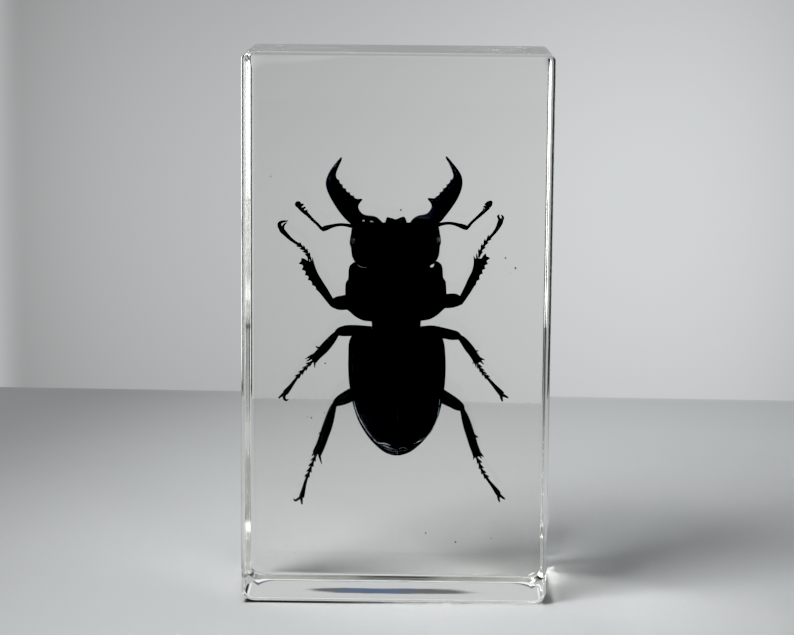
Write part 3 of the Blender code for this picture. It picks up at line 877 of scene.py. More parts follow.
def underside():
    outline = [(-4.9, -1.3), (-5.7, -2.4), (-5.9, -3.8), (-5.85, -5.3), (-5.5, -6.3), (-3.4, -6.75), (-1.2, -6.5), (0.1, -6.9), (1.4, -6.5), (3.6, -6.75),
               (5.65, -6.3), (6.0, -5.3), (6.05, -3.8), (5.8, -2.4), (5.0, -1.3), (3.0, -0.75), (0.0, -0.55), (-3.0, -0.75)]

    def low(p, d):
        u, v = p.T
        a = np.abs(u - 0.06)
        w = -1.05 - 1.45 * dome(d, 2.6)
        w += 0.75 * bell(a, 2.3, 0.95) * bell(v, -1.55, 0.55)                                  # sockets of the middle hips
        w += 0.12 * bell(u, 0.06, 0.10) * blend(v, -2.2, -3.0)                                 # the middle groove
        w += 0.10 * bell(a - 0.10 * (v + 4), 4.7, 0.10) * blend(d, 0.2, 0.6)
        w += 0.10 * bell(v, -2.35 - 0.12 * a, 0.10) * blend(d, 0.2, 0.6)
        return w + 0.03 * pits(u, v, 0.3, 0.08, 16.0) * blend(d, 0.2, 0.6)

    shape = Shape().add(pillow(outline, lambda p, d: -1.05 + 0.4 * dome(d, 0.8), low, 0.09, 1.2))
    for s in (-1, 1):
        shape.add(tube([(s * 1.0, -1.5, -2.1, 0.9, 0.8), (s * 2.1, -1.55, -2.2, 1.25, 1.05), (s * 3.3, -1.5, -2.0, 1.0, 0.9)], sides=26, spacing=0.1))
        shape.add(tube([(s * 0.55, -6.75, -2.05, 0.9, 0.5), (s * 2.4, -6.95, -2.1, 1.15, 0.7), (s * 4.6, -7.0, -1.7, 0.9, 0.55)], sides=26, spacing=0.1))
    shape.make("metasternum", UNDER)

    belly = [(-5.5, -6.4), (-5.75, -7.6), (-5.6, -9.2), (-5.25, -11.0), (-4.7, -12.8), (-3.8, -14.6), (-2.6, -16.0), (-1.2, -16.85), (0.1, -17.15),
             (1.4, -16.85), (2.85, -16.0), (4.05, -14.6), (4.95, -12.8), (5.5, -11.0), (5.85, -9.2), (5.95, -7.6), (5.7, -6.4), (3.0, -6.0), (-3.0, -6.0)]
    joints = (-8.1, -9.9, -11.6, -13.3, -15.1)

    def belly_low(p, d):
        u, v = p.T
        w = -1.05 - np.interp(v, [-17.1, -15, -12, -9, -6], [0.75, 1.05, 1.22, 1.3, 1.3]) * dome(d, 2.2)
        bow = v + 0.012 * (u - 0.06) ** 2
        for j in joints:
            w += (0.13 * np.exp(-np.clip(j - bow, 0, 9) / 0.35) * blend(-bow, -j - 0.03, -j + 0.05)) * blend(d, 0.1, 0.5)
        return w + 0.018 * pits(u, v, 0.27, 0.07, 18.0) * blend(d, 0.2, 0.6)

    Shape().add(pillow(belly, lambda p, d: -1.05 + 0.15 * dome(d, 0.4), belly_low, 0.088, 1.2)).make("abdomen", UNDER)


# ------------------------------------------------------------------ legs
def rod(rows, w0, w1, flat=0.8, **more):
    """A tube through (u, v, width) rows, sinking evenly from height w0 to w1."""
    rows = np.asarray(rows, float)
    far = np.concatenate(([0.0], np.cumsum(np.linalg.norm(np.diff(rows[:, :2], axis=0), axis=1))))
    w = w0 + (w1 - w0) * far / far[-1]
    return tube(np.column_stack((rows[:, :2], w, rows[:, 2], rows[:, 2] * flat)), **more)


def ridged(amount, count=7):
    """Fine lengthwise ridges round a shin."""
    return lambda s, turn: 1 + amount * np.cos(turn * count + 0.6) * min(1.0, 6 * s, 6 * (1 - s))


def tarsus(shape, path, w0, w1, claws, barbs, cuts=(0.0, 0.14, 0.27, 0.40, 0.52, 1.0), stout=1.0):
    """Five foot joints, the last one long and club-shaped, two claws and the bristle between them.

    claws holds a row of (u, v, width) for each claw. barbs is the side that the joints' sharp corners point to.
    """
    line = spline(path, 0.03)
    far = np.concatenate(([0.0], np.cumsum(np.linalg.norm(np.diff(line, axis=0), axis=1))))
    total = far[-1]

    def at(s):
        s = min(max(s, 0.0), 1.0) * total
        return np.array((np.interp(s, far, line[:, 0]), np.interp(s, far, line[:, 1]), w0 + (w1 - w0) * s / total))

    for k in range(4):
        a, b = cuts[k], cuts[k + 1]
        sizes = ((0.0, 0.25), (0.28, 0.31), (0.68, 0.43), (0.92, 0.49), (1.0, 0.38))
        rows = [(*at(a + (b - a) * s), size * stout, size * stout * 0.85) for s, size in sizes]
        shape.add(tube(rows, sides=18, spacing=0.045, ends=(0.6, 0.35)))
        here, ahead = at(b), at(b + 0.03) - at(b - 0.03)
        ahead /= np.linalg.norm(ahead)
        side = np.array((-ahead[1], ahead[0], 0.0))
        for sgn, long, thick in ((barbs, 0.46, 0.23), (-barbs, 0.32, 0.18), (barbs * 0.3, 0.32, 0.09)):
            start = here - ahead * 0.14 + side * sgn * 0.13
            end = start + ahead * long * 0.75 + side * sgn * long * 0.50
            shape.add(spine(start[:2], end[:2], thick, start[2] - 0.04, end[2] - 0.10, sides=10))
    first = cuts[4]
    rows = [(*at(first + (1 - first) * s), size * stout, size * stout * 0.85) for s, size in
            ((0.0, 0.34), (0.18, 0.38), (0.45, 0.46), (0.7, 0.58), (0.9, 0.70), (1.0, 0.72))]
    shape.add(tube(rows, sides=20, spacing=0.05, ends=(0.6, 0.35)))
    end = at(1.0)
    ahead = (at(1.0) - at(0.95))
    ahead /= np.linalg.norm(ahead)
    side = np.array((-ahead[1], ahead[0], 0.0))
    for claw in claws:
        drop = np.linspace(0.0, 0.20, len(claw))
        rows = [(u, v, w1 - d, size * 1.2 + 0.02, size * 1.1 + 0.02) for (u, v, size), d in zip(claw, drop)]
        shape.add(tube(rows, sides=16, spacing=0.035, ends=(0.6, 0.9)))
    shape.add(spine((end - ahead * 0.1)[:2], (end + ahead * 0.30)[:2], 0.07, w1 - 0.05, w1 - 0.1))
    for sgn in (-1, 1):
        tip = end + ahead * 0.42 + side * sgn * 0.10
        shape.add(spine((end + ahead * 0.2)[:2], tip[:2], 0.02, w1 - 0.08, w1 - 0.12, sides=6))


def fore_shin(shape, outline, w0, w1, knee):
    """A broad flat digging shin with teeth along its outer edge."""
    def level(p):
        return w0 + (w1 - w0) * np.clip(np.hypot(p[:, 0] - knee[0], p[:, 1] - knee[1]) / 7.0, 0, 1.2)

    def top(p, d):
        u, v = p.T
        return level(p) + 0.42 * dome(d, 0.55) - 0.06 * blend(d, 0.45, 0.7) - 0.015 * pits(u, v, 0.22, 0.06, 21.0) * blend(d, 0.1, 0.3)

    def bottom(p, d):
        return level(p) - 0.42 * dome(d, 0.55)

    shape.add(pillow(outline, top, bottom, 0.055, 0.55))


def legs():
    # fore left
    shape = Shape()
    shape.add(rod([(-2.6, 2.75, 1.2), (-3.4, 2.85, 1.45), (-4.8, 2.95, 1.8), (-5.9, 2.95, 1.98), (-6.64, 2.93, 2.0), (-7.08, 2.87, 1.93), (-7.51, 2.86, 1.86),
                   (-7.94, 2.84, 1.66), (-8.34, 2.80, 1.22)], -2.0, -1.55, 0.62, sides=30, spacing=0.08, ends=(1.0, 0.8)))
    fore_shin(shape, [(-8.23, 3.32), (-8.63, 3.98), (-9.03, 4.7), (-9.73, 5.82), (-10.33, 6.85), (-10.65, 7.66), (-10.80, 8.12), (-11.0, 8.30), (-11.3, 8.36),
                      (-11.63, 8.42), (-11.83, 8.64), (-12.09, 8.79), (-12.49, 8.85), (-12.50, 8.62), (-12.56, 8.42), (-12.84, 8.16), (-12.52, 8.02), (-12.28, 7.83),
                      (-12.34, 7.55), (-12.44, 7.32), (-12.15, 7.22), (-11.96, 7.07), (-12.0, 6.8), (-12.03, 6.58), (-11.75, 6.54), (-11.58, 6.40), (-11.62, 6.12),
                      (-11.65, 5.94), (-11.36, 5.88), (-11.15, 5.69), (-11.12, 5.42), (-11.04, 5.22), (-10.8, 5.16), (-10.63, 4.98), (-10.58, 4.66), (-10.35, 4.49),
                      (-10.1, 4.2), (-9.45, 3.38), (-8.95, 2.74), (-8.50, 2.30), (-8.10, 2.42), (-8.02, 2.9)], -1.7, -2.5, (-8.4, 2.8))
    shape.add(spine((-11.54, 8.40), (-11.68, 9.08), 0.17, -2.4, -2.5, bend=-0.05))
    shape.add(spine((-11.18, 8.35), (-11.23, 9.10), 0.19, -2.45, -2.5, bend=0.06))
    shape.add(spine((-10.92, 8.20), (-10.98, 8.92), 0.15, -2.45, -2.5, bend=0.04))
    tarsus(shape, [(-11.40, 8.75), (-11.50, 9.15), (-11.75, 9.65), (-12.26, 10.22), (-12.82, 10.70), (-13.48, 11.08), (-14.04, 11.56), (-14.50, 12.04), (-14.88, 12.42), (-15.10, 12.80)],
           -2.45, -2.75, [[(-15.06, 12.74, 0.46), (-15.32, 13.12, 0.44), (-15.30, 13.48, 0.38), (-14.96, 13.70, 0.28), (-14.58, 13.76, 0.18), (-14.23, 13.80, 0.08)],
                          [(-14.88, 12.82, 0.26), (-14.82, 13.12, 0.24), (-14.64, 13.39, 0.18), (-14.38, 13.57, 0.08)]],
           1, cuts=(0.0, 0.12, 0.22, 0.32, 0.43, 1.0))
    shape.make("leg_fore_left", LIMB)

    # fore right
    shape = Shape()
    shape.add(rod([(2.7, 2.75, 1.2), (3.5, 2.85, 1.45), (4.9, 2.95, 1.8), (6.2, 2.96, 1.9), (7.06, 2.95, 1.91), (7.49, 2.99, 1.90), (7.93, 3.0, 1.78),
                   (8.36, 2.93, 1.42), (8.60, 2.90, 1.05)], -2.0, -1.55, 0.62, sides=30, spacing=0.08, ends=(1.0, 0.8)))
    fore_shin(shape, [(8.42, 3.42), (8.77, 4.09), (9.18, 4.9), (9.59, 5.82), (10.11, 6.83), (10.32, 7.64), (10.42, 8.30), (10.62, 8.50), (10.93, 8.58),
                      (11.36, 8.52), (11.50, 8.72), (11.70, 8.98), (11.98, 9.17), (12.0, 8.98), (12.08, 8.79), (12.34, 8.68), (12.52, 8.54), (12.28, 8.36), (12.08, 8.16),
                      (12.16, 7.95), (12.25, 7.78), (12.0, 7.68), (11.81, 7.56), (11.84, 7.34), (11.90, 7.15), (11.66, 7.06), (11.49, 6.92), (11.52, 6.70), (11.57, 6.52),
                      (11.34, 6.44), (11.19, 6.32), (11.10, 6.05), (11.13, 5.74), (10.90, 5.64), (10.72, 5.46), (10.69, 5.24), (10.66, 5.08), (10.44, 4.86), (9.99, 4.13), (9.43, 3.32),
                      (9.05, 2.78), (8.72, 2.42), (8.34, 2.55), (8.24, 3.0)], -1.7, -2.5, (8.5, 2.8))
    shape.add(spine((10.85, 8.40), (10.76, 9.20), 0.19, -2.4, -2.5, bend=0.05))
    shape.add(spine((10.50, 8.25), (10.34, 8.86), 0.17, -2.45, -2.5, bend=-0.05))
    tarsus(shape, [(11.04, 8.70), (11.12, 9.00), (11.31, 9.54), (11.65, 10.11), (12.06, 10.76), (12.59, 11.36), (13.12, 11.94), (13.50, 12.50), (13.75, 12.98), (13.93, 13.42)],
           -2.45, -2.75, [[(14.0, 13.42, 0.32), (14.20, 13.72, 0.28), (14.22, 13.98, 0.20), (14.03, 14.16, 0.12)],
                          [(13.84, 13.48, 0.30), (13.70, 13.80, 0.26), (13.58, 14.06, 0.20), (13.72, 14.22, 0.12)]], 1)
    shape.make("leg_fore_right", LIMB)

    # middle left
    shape = Shape()
    shape.add(rod([(-2.6, -1.15, 1.15), (-3.2, -0.98, 1.32), (-4.0, -0.92, 1.42), (-5.0, -0.85, 1.46), (-6.0, -0.83, 1.50), (-6.55, -0.84, 1.48), (-7.04, -0.90, 1.38), (-7.50, -0.97, 1.18),
                   (-7.86, -1.10, 0.86)], -2.1, -1.6, 0.7, sides=28, spacing=0.08, ends=(1.0, 0.8)))
    shape.add(rod([(-7.80, -1.16, 0.66), (-8.06, -1.38, 0.84), (-8.34, -1.70, 1.00), (-8.72, -2.16, 1.14), (-9.13, -2.62, 1.24), (-9.55, -3.09, 1.26), (-9.96, -3.53, 1.20),
                   (-10.38, -3.94, 1.12), (-10.79, -4.33, 1.14), (-11.13, -4.64, 1.22)], -1.6, -2.5, 0.7, sides=28, spacing=0.07, ends=(0.9, 0.25), relief=ridged(0.025)))
    shape.add(spine((-10.12, -3.14), (-10.74, -2.86), 0.28, -2.3, bend=0.08))
    shape.add(spine((-11.22, -4.10), (-12.07, -4.52), 0.26, -2.4, bend=0.0))
    shape.add(spine((-11.34, -4.42), (-12.03, -4.88), 0.22, -2.45, bend=0.05))
    shape.add(spine((-11.0, -4.66), (-10.91, -5.74), 0.26, -2.5, bend=0.05))
    shape.add(spine((-10.72, -4.50), (-10.56, -5.08), 0.16, -2.45, bend=-0.05))
    shape.add(spine((-9.2, -3.02), (-9.28, -3.36), 0.10, -2.2))
    tarsus(shape, [(-11.12, -4.78), (-11.34, -5.02), (-11.75, -5.38), (-12.21, -5.89), (-12.73, -6.44), (-13.15, -6.91), (-13.57, -7.43), (-14.09, -8.14), (-14.51, -8.65),
                   (-14.86, -9.06)], -2.5, -2.8, [[(-15.0, -9.08, 0.32), (-15.38, -9.42, 0.27), (-15.74, -9.74, 0.16)],
                                                  [(-14.86, -9.12, 0.38), (-15.04, -9.52, 0.34), (-14.99, -9.88, 0.28), (-14.76, -10.06, 0.20), (-14.50, -9.96, 0.10)]], -1, stout=1.06)
    shape.make("leg_middle_left", LIMB)

    # middle right
    shape = Shape()
    shape.add(rod([(2.4, -1.28, 1.15), (3.0, -1.08, 1.32), (3.7, -1.04, 1.40), (4.8, -1.01, 1.46), (5.8, -1.20, 1.46), (6.78, -1.43, 1.42), (7.44, -1.58, 1.36), (8.0, -1.68, 1.20),
                   (8.38, -1.85, 0.88)], -2.1, -1.6, 0.7, sides=28, spacing=0.08, ends=(1.0, 0.8)))
    shape.add(rod([(8.44, -1.86, 0.66), (8.74, -2.12, 0.86), (9.06, -2.50, 1.00), (9.37, -2.91, 1.10), (9.66, -3.32, 1.17), (9.97, -3.72, 1.15), (10.24, -4.13, 1.10), (10.51, -4.54, 1.10),
                   (10.78, -4.96, 1.10), (10.94, -5.24, 1.14)], -1.6, -2.5, 0.7, sides=28, spacing=0.07, ends=(0.9, 0.25), relief=ridged(0.025)))
    shape.add(spine((10.25, -3.70), (10.99, -3.72), 0.26, -2.3, bend=-0.08))
    shape.add(spine((11.05, -4.70), (11.80, -4.97), 0.24, -2.4))
    shape.add(spine((11.15, -4.95), (11.70, -5.56), 0.22, -2.45, bend=-0.05))
    shape.add(spine((10.60, -5.15), (10.65, -5.98), 0.20, -2.5, bend=-0.05))
    shape.add(spine((10.40, -4.95), (10.20, -5.55), 0.15, -2.5))
    tarsus(shape, [(10.80, -5.40), (11.04, -5.90), (11.41, -6.48), (11.72, -6.90), (12.09, -7.31), (12.64, -7.94), (13.26, -8.67), (13.74, -9.19), (14.08, -9.58)],
           -2.5, -2.8, [[(14.04, -9.60, 0.36), (14.42, -9.80, 0.30), (14.88, -10.06, 0.16)], [(13.98, -9.60, 0.36), (14.02, -10.06, 0.30), (14.14, -10.48, 0.18)]],
           1, cuts=(0.0, 0.11, 0.22, 0.32, 0.43, 1.0), stout=1.06)
    shape.make("leg_middle_right", LIMB)

    # hind left
    shape = Shape()
    shape.add(rod([(-1.8, -6.9, 1.0), (-3.2, -7.75, 1.4), (-4.8, -8.75, 1.65), (-5.9, -9.35, 1.76), (-6.60, -9.72, 1.72), (-7.07, -9.95, 1.62), (-7.52, -10.18, 1.46), (-7.92, -10.40, 1.20),
                   (-8.20, -10.58, 0.92)], -2.2, -1.7, 0.6, sides=28, spacing=0.08, ends=(1.0, 0.8)))
    shape.add(rod([(-8.24, -10.60, 0.62), (-8.42, -10.92, 0.80), (-8.58, -11.32, 0.94), (-8.77, -11.92, 1.08), (-8.98, -12.62, 1.22), (-9.21, -13.35, 1.30), (-9.46, -14.08, 1.33), (-9.73, -14.82, 1.29),
                   (-9.99, -15.56, 1.27), (-10.28, -16.30, 1.26), (-10.60, -17.0, 1.28), (-10.73, -17.30, 1.30)], -1.7, -2.5, 0.68, sides=28, spacing=0.07, ends=(0.9, 0.2), relief=ridged(0.025)))
    shape.add(spine((-9.99, -14.38), (-10.50, -14.61), 0.26, -2.2, bend=0.05))
    shape.add(spine((-11.06, -17.20), (-11.44, -17.64), 0.24, -2.4))
    shape.add(spine((-10.96, -17.32), (-11.16, -17.74), 0.18, -2.45))
    shape.add(spine((-10.38, -17.36), (-10.08, -18.76), 0.26, -2.5, bend=-0.04))
    shape.add(spine((-10.5, -17.35), (-10.42, -18.0), 0.16, -2.45))
    tarsus(shape, [(-10.80, -17.45), (-10.97, -17.74), (-11.22, -18.28), (-11.58, -19.15), (-11.82, -19.83), (-12.14, -20.60), (-12.42, -21.47), (-12.68, -22.44), (-12.87, -23.16)],
           -2.5, -2.8, [[(-12.95, -23.22, 0.32), (-13.33, -23.43, 0.28), (-13.62, -23.62, 0.24), (-13.85, -23.62, 0.18), (-13.89, -23.44, 0.10)],
                        [(-12.92, -23.20, 0.32), (-12.88, -23.70, 0.26), (-12.83, -24.14, 0.14)]], -1)
    shape.make("leg_hind_left", LIMB)

    # hind right
    shape = Shape()
    shape.add(rod([(2.0, -6.9, 1.0), (3.4, -7.85, 1.4), (5.0, -8.95, 1.68), (6.2, -9.80, 1.76), (6.99, -10.28, 1.70), (7.55, -10.60, 1.58), (8.07, -10.95, 1.46), (8.50, -11.24, 1.22),
                   (8.76, -11.46, 0.92)], -2.2, -1.7, 0.6, sides=28, spacing=0.08, ends=(1.0, 0.8)))
    shape.add(rod([(8.78, -11.48, 0.60), (8.90, -11.90, 0.76), (9.04, -12.34, 0.90), (9.18, -12.78, 1.02), (9.37, -13.42, 1.14), (9.58, -14.12, 1.20), (9.80, -14.84, 1.20), (10.03, -15.56, 1.20),
                   (10.24, -16.30, 1.16), (10.50, -17.02, 1.14), (10.77, -17.72, 1.20), (10.85, -17.90, 1.22)], -1.7, -2.5, 0.68, sides=28, spacing=0.07, ends=(0.9, 0.2), relief=ridged(0.025)))
    shape.add(spine((10.42, -15.12), (10.93, -15.37), 0.26, -2.2, bend=-0.05))
    shape.add(spine((11.22, -17.62), (11.64, -18.02), 0.24, -2.4))
    shape.add(spine((11.12, -17.86), (11.36, -18.26), 0.18, -2.45))
    shape.add(spine((10.40, -17.72), (10.25, -18.40), 0.20, -2.5))
    tarsus(shape, [(10.66, -18.0), (11.02, -18.78), (11.26, -19.51), (11.64, -20.28), (12.02, -20.87), (12.60, -21.65), (13.24, -22.50), (13.62, -23.06)],
           -2.5, -2.8, [[(13.64, -23.10, 0.34), (14.04, -23.44, 0.28), (14.46, -23.77, 0.15)], [(13.62, -23.08, 0.34), (13.62, -23.60, 0.27), (13.75, -24.12, 0.15)]], 1)
    shape.make("leg_hind_right", LIMB)


# ------------------------------------------------------------------ what else the casting caught
def specks():
    """Dust flakes and pinhead bubbles: each a small lumpy closed body at its own depth."""
    rng = np.random.default_rng(11)
    shape = Shape()
    places = [(0.75, 15.04, 1.5, 0.10), (14.56, 8.54, 3.5, 0.11), (15.89, 7.19, 3.0, 0.10), (-16.4, 19.68, 2.0, 0.07), (-9.5, -5.17, 1.0, 0.10),
              (-11.43, -12.48, 2.0, 0.09), (3.8, -28.3, -2.0, 0.10), (7.82, -29.59, 1.0, 0.11), (12.66, -29.13, -1.0, 0.09), (-11.95, -12.35, -1.5, 0.05),
              (-9.7, -11.8, 0.5, 0.07)]
    places += [(rng.uniform(-17, 17), rng.uniform(-32, 30), rng.uniform(-7, 7), rng.uniform(0.025, 0.05)) for _ in range(26)]
    t = (1 + 5 ** 0.5) / 2
    corner = np.array([(-1, t, 0), (1, t, 0), (-1, -t, 0), (1, -t, 0), (0, -1, t), (0, 1, t), (0, -1, -t), (0, 1, -t), (t, 0, -1), (t, 0, 1), (-t, 0, -1), (-t, 0, 1)])
    face = [(0, 11, 5), (0, 5, 1), (0, 1, 7), (0, 7, 10), (0, 10, 11), (1, 5, 9), (5, 11, 4), (11, 10, 2), (10, 7, 6), (7, 1, 8),
            (3, 9, 4), (3, 4, 2), (3, 2, 6), (3, 6, 8), (3, 8, 9), (4, 9, 5), (2, 4, 11), (6, 2, 10), (8, 6, 7), (9, 8, 1)]
    verts, faces = [tuple(c / np.linalg.norm(c)) for c in corner], face
    for _ in range(2):
        known, finer = {}, []

        def middle(a, b):
            key = (min(a, b), max(a, b))
            if key not in known:
                m = np.array(verts[a]) + verts[b]
                verts.append(tuple(m / np.linalg.norm(m)))
                known[key] = len(verts) - 1
            return known[key]

        for a, b, c in faces:
            ab, bc, ca = middle(a, b), middle(b, c), middle(c, a)
            finer += [(a, ab, ca), (b, bc, ab), (c, ca, bc), (ab, bc, ca)]
        faces = finer
    unit = np.array(verts)
    for k, (u, v, w, size) in enumerate(places):
        lump = 1 + 0.22 * np.sin(unit[:, 0] * 3.1 + k) * np.sin(unit[:, 1] * 2.7 + 2 * k) + 0.10 * np.sin(unit[:, 2] * 6.3 + 3 * k)
        stretch = np.array((1.0, 0.75 + 0.5 * rng.random(), 0.7 + 0.4 * rng.random()))
        shape.add((unit * lump[:, None] * stretch * size + (u, v, w), faces))
    shape.make("resin_specks", dust_surface())


head()
jaws()
mouthparts()
antennae()
chest()
wing_cases()
underside()
legs()
specks()


# ------------------------------------------------------------------ studio: table, room and light, none of it part of the object
def curve(m, x, c):
    """c0 + c1 x + c2 x^2 and so on, built from Math nodes."""
    total = m.math("MULTIPLY_ADD", x, c[-1], c[-2])
    for k in c[-3::-1]:
        total = m.math("MULTIPLY_ADD", x, total, k)
    return total


def surface(m, x, y, c):
    """c0 + c1 x + c2 y + c3 x^2 + c4 x y + c5 y^2, built from Math nodes."""
    inner_x = m.math("MULTIPLY_ADD", x, c[3], m.math("MULTIPLY_ADD", y, c[4], c[1]))
    inner_y = m.math("MULTIPLY_ADD", y, c[5], c[2])
    return m.math("MULTIPLY_ADD", x, inner_x, m.math("MULTIPLY_ADD", y, inner_y, c[0]))


EDGE, EDGE_TURN = 0.1426, -0.031      # the table's rear edge: how far back, and how it runs off to the right


def floor():
    """A pale table top, its tone carrying painted light and shade. Its rear edge runs a little askew and, with a band
    of painted light along it, makes the soft line behind the block.
    """
    front, r = -0.90, 0.006
    rows = [(front, -0.03), (front, -0.0001)]
    rows += [(y, -0.0001) for y in np.linspace(front + 0.02, EDGE - r, 60)]
    rows += [(EDGE - r + r * math.sin(a), -0.0001 - r + r * math.cos(a)) for a in np.radians(np.linspace(7, 90, 14))]
    rows += [(EDGE, -0.03)]
    verts = [(x, y + EDGE_TURN * x * (y - front) / (EDGE - front), z) for x in (-0.20, 0.20) for y, z in rows]
    n = len(rows)
    obj = mesh_object("table", verts, [(i, i + 1, i + 1 + n, i + n) for i in range(n - 1)])
    obj.data.set_sharp_from_angle(angle=math.radians(40))
    m = Nodes("table_top")
    where = m.add("TexCoord").outputs["Object"]
    at = m.add("SeparateXYZ", {0: where})
    x, y = at.outputs["X"], at.outputs["Y"]
    xd = m.math("MULTIPLY", x, 10.0)                 # decimetres, so that the terms below are of one size
    yd = m.math("MULTIPLY", y, 10.0)
    xd = m.math("MAXIMUM", m.math("MINIMUM", xd, 1.0), -1.0)
    yd = m.math("MAXIMUM", m.math("MINIMUM", yd, 1.5), -0.6)
    # painted light: the table's tone is brightest around the block and falls off towards its sides and both ends
    tone = m.math("SMOOTH_MAX", surface(m, xd, yd, TABLE_TONE_AND_PAINTED_LIGHT), 0.11, 0.09)
    # painted light: along its rear edge the table is drawn up to 22% lighter, which softens its line against the wall
    lip = step(m, m.math("MULTIPLY_ADD", x, -EDGE_TURN, y), EDGE - 0.009, EDGE - 0.0015)
    tone = m.math("MULTIPLY", tone, m.math("MULTIPLY_ADD", lip, 0.22, 1.0))
    # painted light: out on the right the table's tone is raised to 0.36 as if it were in full light, which the block's
    # left edge shows
    painted_light_patch = m.math("MULTIPLY", step(m, x, 0.061, 0.075), step(m, y, 0.035, 0.010))
    tone = m.math("ADD", tone, m.math("MULTIPLY", painted_light_patch, m.math("SUBTRACT", 0.36, tone)))
    painted_shade_near_end = step(m, y, -0.10, -0.30)             # painted shade: towards its near end the table is drawn up to 45% darker, as if it lay in the dimmer part of the room
    tone = m.math("MULTIPLY", tone, m.math("MULTIPLY_ADD", painted_shade_near_end, -0.45, 1.0))
    grain = m.add("TexNoise", {"Vector": where, "Scale": 900.0, "Detail": 4.0}).outputs["Fac"]
    cloud = m.add("TexNoise", {"Vector": where, "Scale": 30.0, "Detail": 4.0}).outputs["Fac"]
    tone = m.math("MULTIPLY", tone, m.math("MULTIPLY_ADD", cloud, 0.06, 0.97))
    # painted shade: under the front rim's left half and under the block's left front corner the table is drawn nearly
    # black
    under = m.math("MULTIPLY", step(m, x, 0.005, -0.010), step(m, x, -0.0197, -0.0191))
    under = m.math("MULTIPLY", under, m.math("MULTIPLY", step(m, y, -0.0104, -0.0101), step(m, y, -0.0092, -0.0096)))
    # painted shade under the block's left front corner
    corner = m.math("MULTIPLY", step(m, x, -0.0180, -0.0188), step(m, x, -0.0202, -0.0196))
    corner = m.math("MULTIPLY", corner, m.math("MULTIPLY", step(m, y, -0.0106, -0.0101), step(m, y, -0.0080, -0.0088)))
    tone = m.math("MULTIPLY", tone, m.math("MULTIPLY_ADD", m.math("MAXIMUM", under, corner), -0.95, 1.0))
    tone = m.math("MAXIMUM", m.math("MINIMUM", tone, 0.95), 0.01)
    colour = m.add("VectorMath", {0: TABLE_TINT, 3: tone}, operation="SCALE").outputs[0]
    bump = m.add("Bump", {"Strength": 0.08, "Distance": 0.0002, "Height": grain})
    shader = m.add("BsdfPrincipled", {"Base Color": colour, "Roughness": 0.62, "IOR": 1.4, "Normal": bump.outputs["Normal"]})
    m.link(shader.outputs["BSDF"], m.out.inputs["Surface"])
    obj.data.materials.append(m.mat)
    return obj


BLACK = 0.028                        # what the picture shows as black
# the table's own tone with a painted pool of light on it: brightest around the block, darker towards the sides and both
# ends
TABLE_TONE_AND_PAINTED_LIGHT = (0.272, 0.027, 0.023, -0.178, 0.077, -0.0385)
TABLE_TINT = (0.975, 1.0, 1.005)
ROOM_TINT = (0.975, 1.0, 1.005)
ROOM_FRONT, ROOM_SIDE, ROOM_TOP = 0.24, 0.52, 0.60
WALL_ACROSS = (0.584, 0.203, 0.031, -0.153, -0.241)        # over the turn in tens of degrees
WALL_UP = (0.737, -0.641, -0.006, 0.752, 0.311)
CARDS = (                            # brightness, from and to turn, from and to rise
    (0.02, -60.0, -10.9, -20.0, 3.0),
    (1.80, 26.0, 46.0, -20.0, 6.0),
    (0.02, 9.9, 25.6, -20.0, 6.0),
    (1.90, 122.3, 140.0, -18.0, 4.0),
    (3.20, 104.3, 122.3, -18.0, 4.0),
    (0.02, 90.0, 104.0, -18.0, 4.0),
    (5.00, -126.0, -102.0, -18.0, 4.0),
    (0.95, -14.0, 14.0, 6.5, 11.4),
    (0.63, -14.0, 14.0, 11.4, 17.2),
    (0.15, -14.0, 14.0, 17.5, 22.0),
    (1.00, -14.0, 14.0, 22.0, 34.0),
)


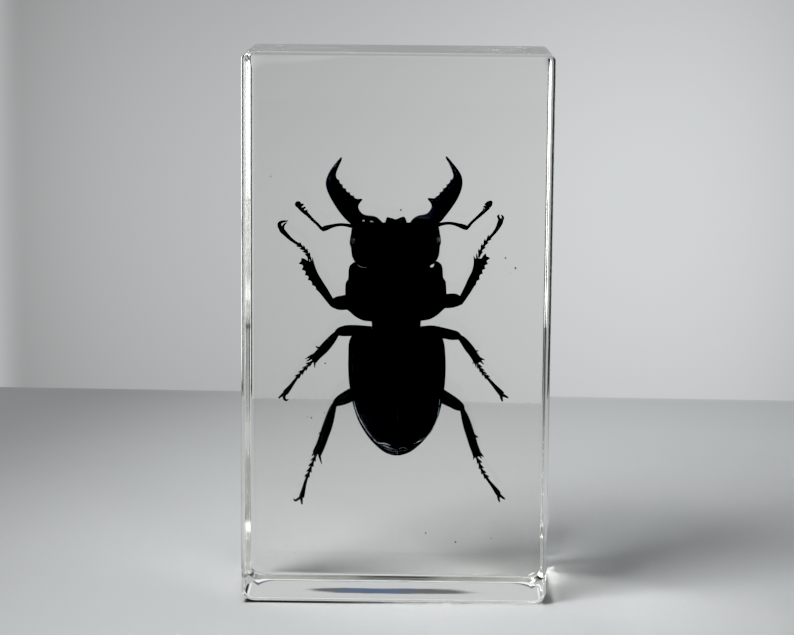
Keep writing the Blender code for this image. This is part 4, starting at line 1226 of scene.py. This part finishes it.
def room():
    """The room as seen from the block: the lit wall behind it, pale ceiling and sides, flags and white cards.

    Angles are in degrees: turn is measured from straight behind the block towards +X, and rise from the horizon.
    """
    w = bpy.data.worlds.new("room")
    w.use_nodes = True
    m = Nodes("room", w.node_tree)
    to = m.add("SeparateXYZ", {0: m.add("TexCoord").outputs["Generated"]})
    turn = m.math("DEGREES", m.math("ARCTAN2", to.outputs["X"], to.outputs["Y"]))
    rise = m.math("DEGREES", m.math("ARCSINE", to.outputs["Z"]))
    away = m.math("ABSOLUTE", turn)
    # the plain room: pale, dimmer on the camera's side
    level = m.math("MULTIPLY_ADD", step(m, away, 125.0, 165.0), ROOM_FRONT - ROOM_SIDE, ROOM_SIDE)
    level = m.math("ADD", level, m.math("MULTIPLY", step(m, rise, 12.0, 40.0), m.math("SUBTRACT", ROOM_TOP, level)))

    def patch(level, value, a, b, low, high, soft=0.8, soft_rise=1.0):
        inside = m.math("MULTIPLY", step(m, turn, a - soft, a + soft), step(m, turn, b + soft, b - soft))
        inside = m.math("MULTIPLY", inside, step(m, rise, low - soft_rise, low + soft_rise))
        inside = m.math("MULTIPLY", inside, step(m, rise, high + soft_rise, high - soft_rise))
        return m.math("ADD", level, m.math("MULTIPLY", inside, m.math("SUBTRACT", value, level)))

    for card in CARDS:
        level = patch(level, *card)
    # the wall straight behind, lit from the right
    t = m.math("MULTIPLY", turn, 0.1)
    r = m.math("MULTIPLY", m.math("MAXIMUM", m.math("MINIMUM", rise, 4.0), -17.0), 0.1)
    wall = m.math("MULTIPLY", curve(m, t, WALL_ACROSS), curve(m, r, WALL_UP))
    wall = m.math("MULTIPLY_ADD", wall, 1.0 - BLACK, BLACK)
    in_front = m.math("MULTIPLY", step(m, turn, -10.3, -9.3), step(m, turn, 10.0, 9.0))
    in_front = m.math("MULTIPLY", in_front, step(m, rise, 9.0, 5.0))
    level = m.math("ADD", level, m.math("MULTIPLY", in_front, m.math("SUBTRACT", wall, level)))
    level = patch(level, 0.50, -12.0, 12.0, 1.2, 6.5)            # the wall's upper part is in full light
    colour = m.add("VectorMath", {0: ROOM_TINT, 3: level}, operation="SCALE").outputs[0]
    # the dark card high on the rear wall is blue in its middle
    blue = m.math("MULTIPLY", step(m, rise, 16.8, 18.5), step(m, rise, 23.0, 21.0))
    blue = m.math("MULTIPLY", blue, m.math("MULTIPLY", step(m, turn, -3.0, -1.8), step(m, turn, 0.3, -1.2)))
    shade = m.add("CombineXYZ", {
        0: m.math("MULTIPLY_ADD", blue, -0.20, 1.0), 1: m.math("MULTIPLY_ADD", blue, 0.04, 1.0),
        2: m.math("MULTIPLY_ADD", blue, 0.62, 1.0)}).outputs[0]
    colour = m.add("VectorMath", {0: colour, 1: shade}, operation="MULTIPLY").outputs[0]
    back = m.add("Background", {"Color": colour, "Strength": 1.0})
    m.link(back.outputs[0], m.out.inputs["Surface"])
    bpy.context.scene.world = w


def area(name, place, target, width, height, power, colour=(1, 1, 1)):
    data = bpy.data.lights.new(name, "AREA")
    data.shape, data.size, data.size_y = "RECTANGLE", width, height
    data.energy, data.color = power, colour
    obj = link(bpy.data.objects.new(name, data))
    obj.location = place
    obj.rotation_mode = "QUATERNION"
    obj.rotation_quaternion = (Vector(target) - Vector(place)).to_track_quat("-Z", "Y")
    return obj


floor()
room()
area("key_softbox", (-0.340, -0.285, 0.549), (0, 0, 0.02), 0.33, 0.33, 11.0)

scene = bpy.context.scene
scene.view_settings.view_transform = "Standard"
scene.view_settings.look = "None"
scene.view_settings.use_curve_mapping = True
scene.view_settings.curve_mapping.black_level = (BLACK,) * 3
scene.view_settings.curve_mapping.update()
scene.cycles.max_bounces = 24
scene.cycles.transmission_bounces = 20
scene.cycles.glossy_bounces = 12
scene.cycles.diffuse_bounces = 4
scene.cycles.caustics_refractive = True
scene.cycles.caustics_reflective = True
scene.cycles.blur_glossy = 0.0
scene.cycles.sample_clamp_indirect = 60.0
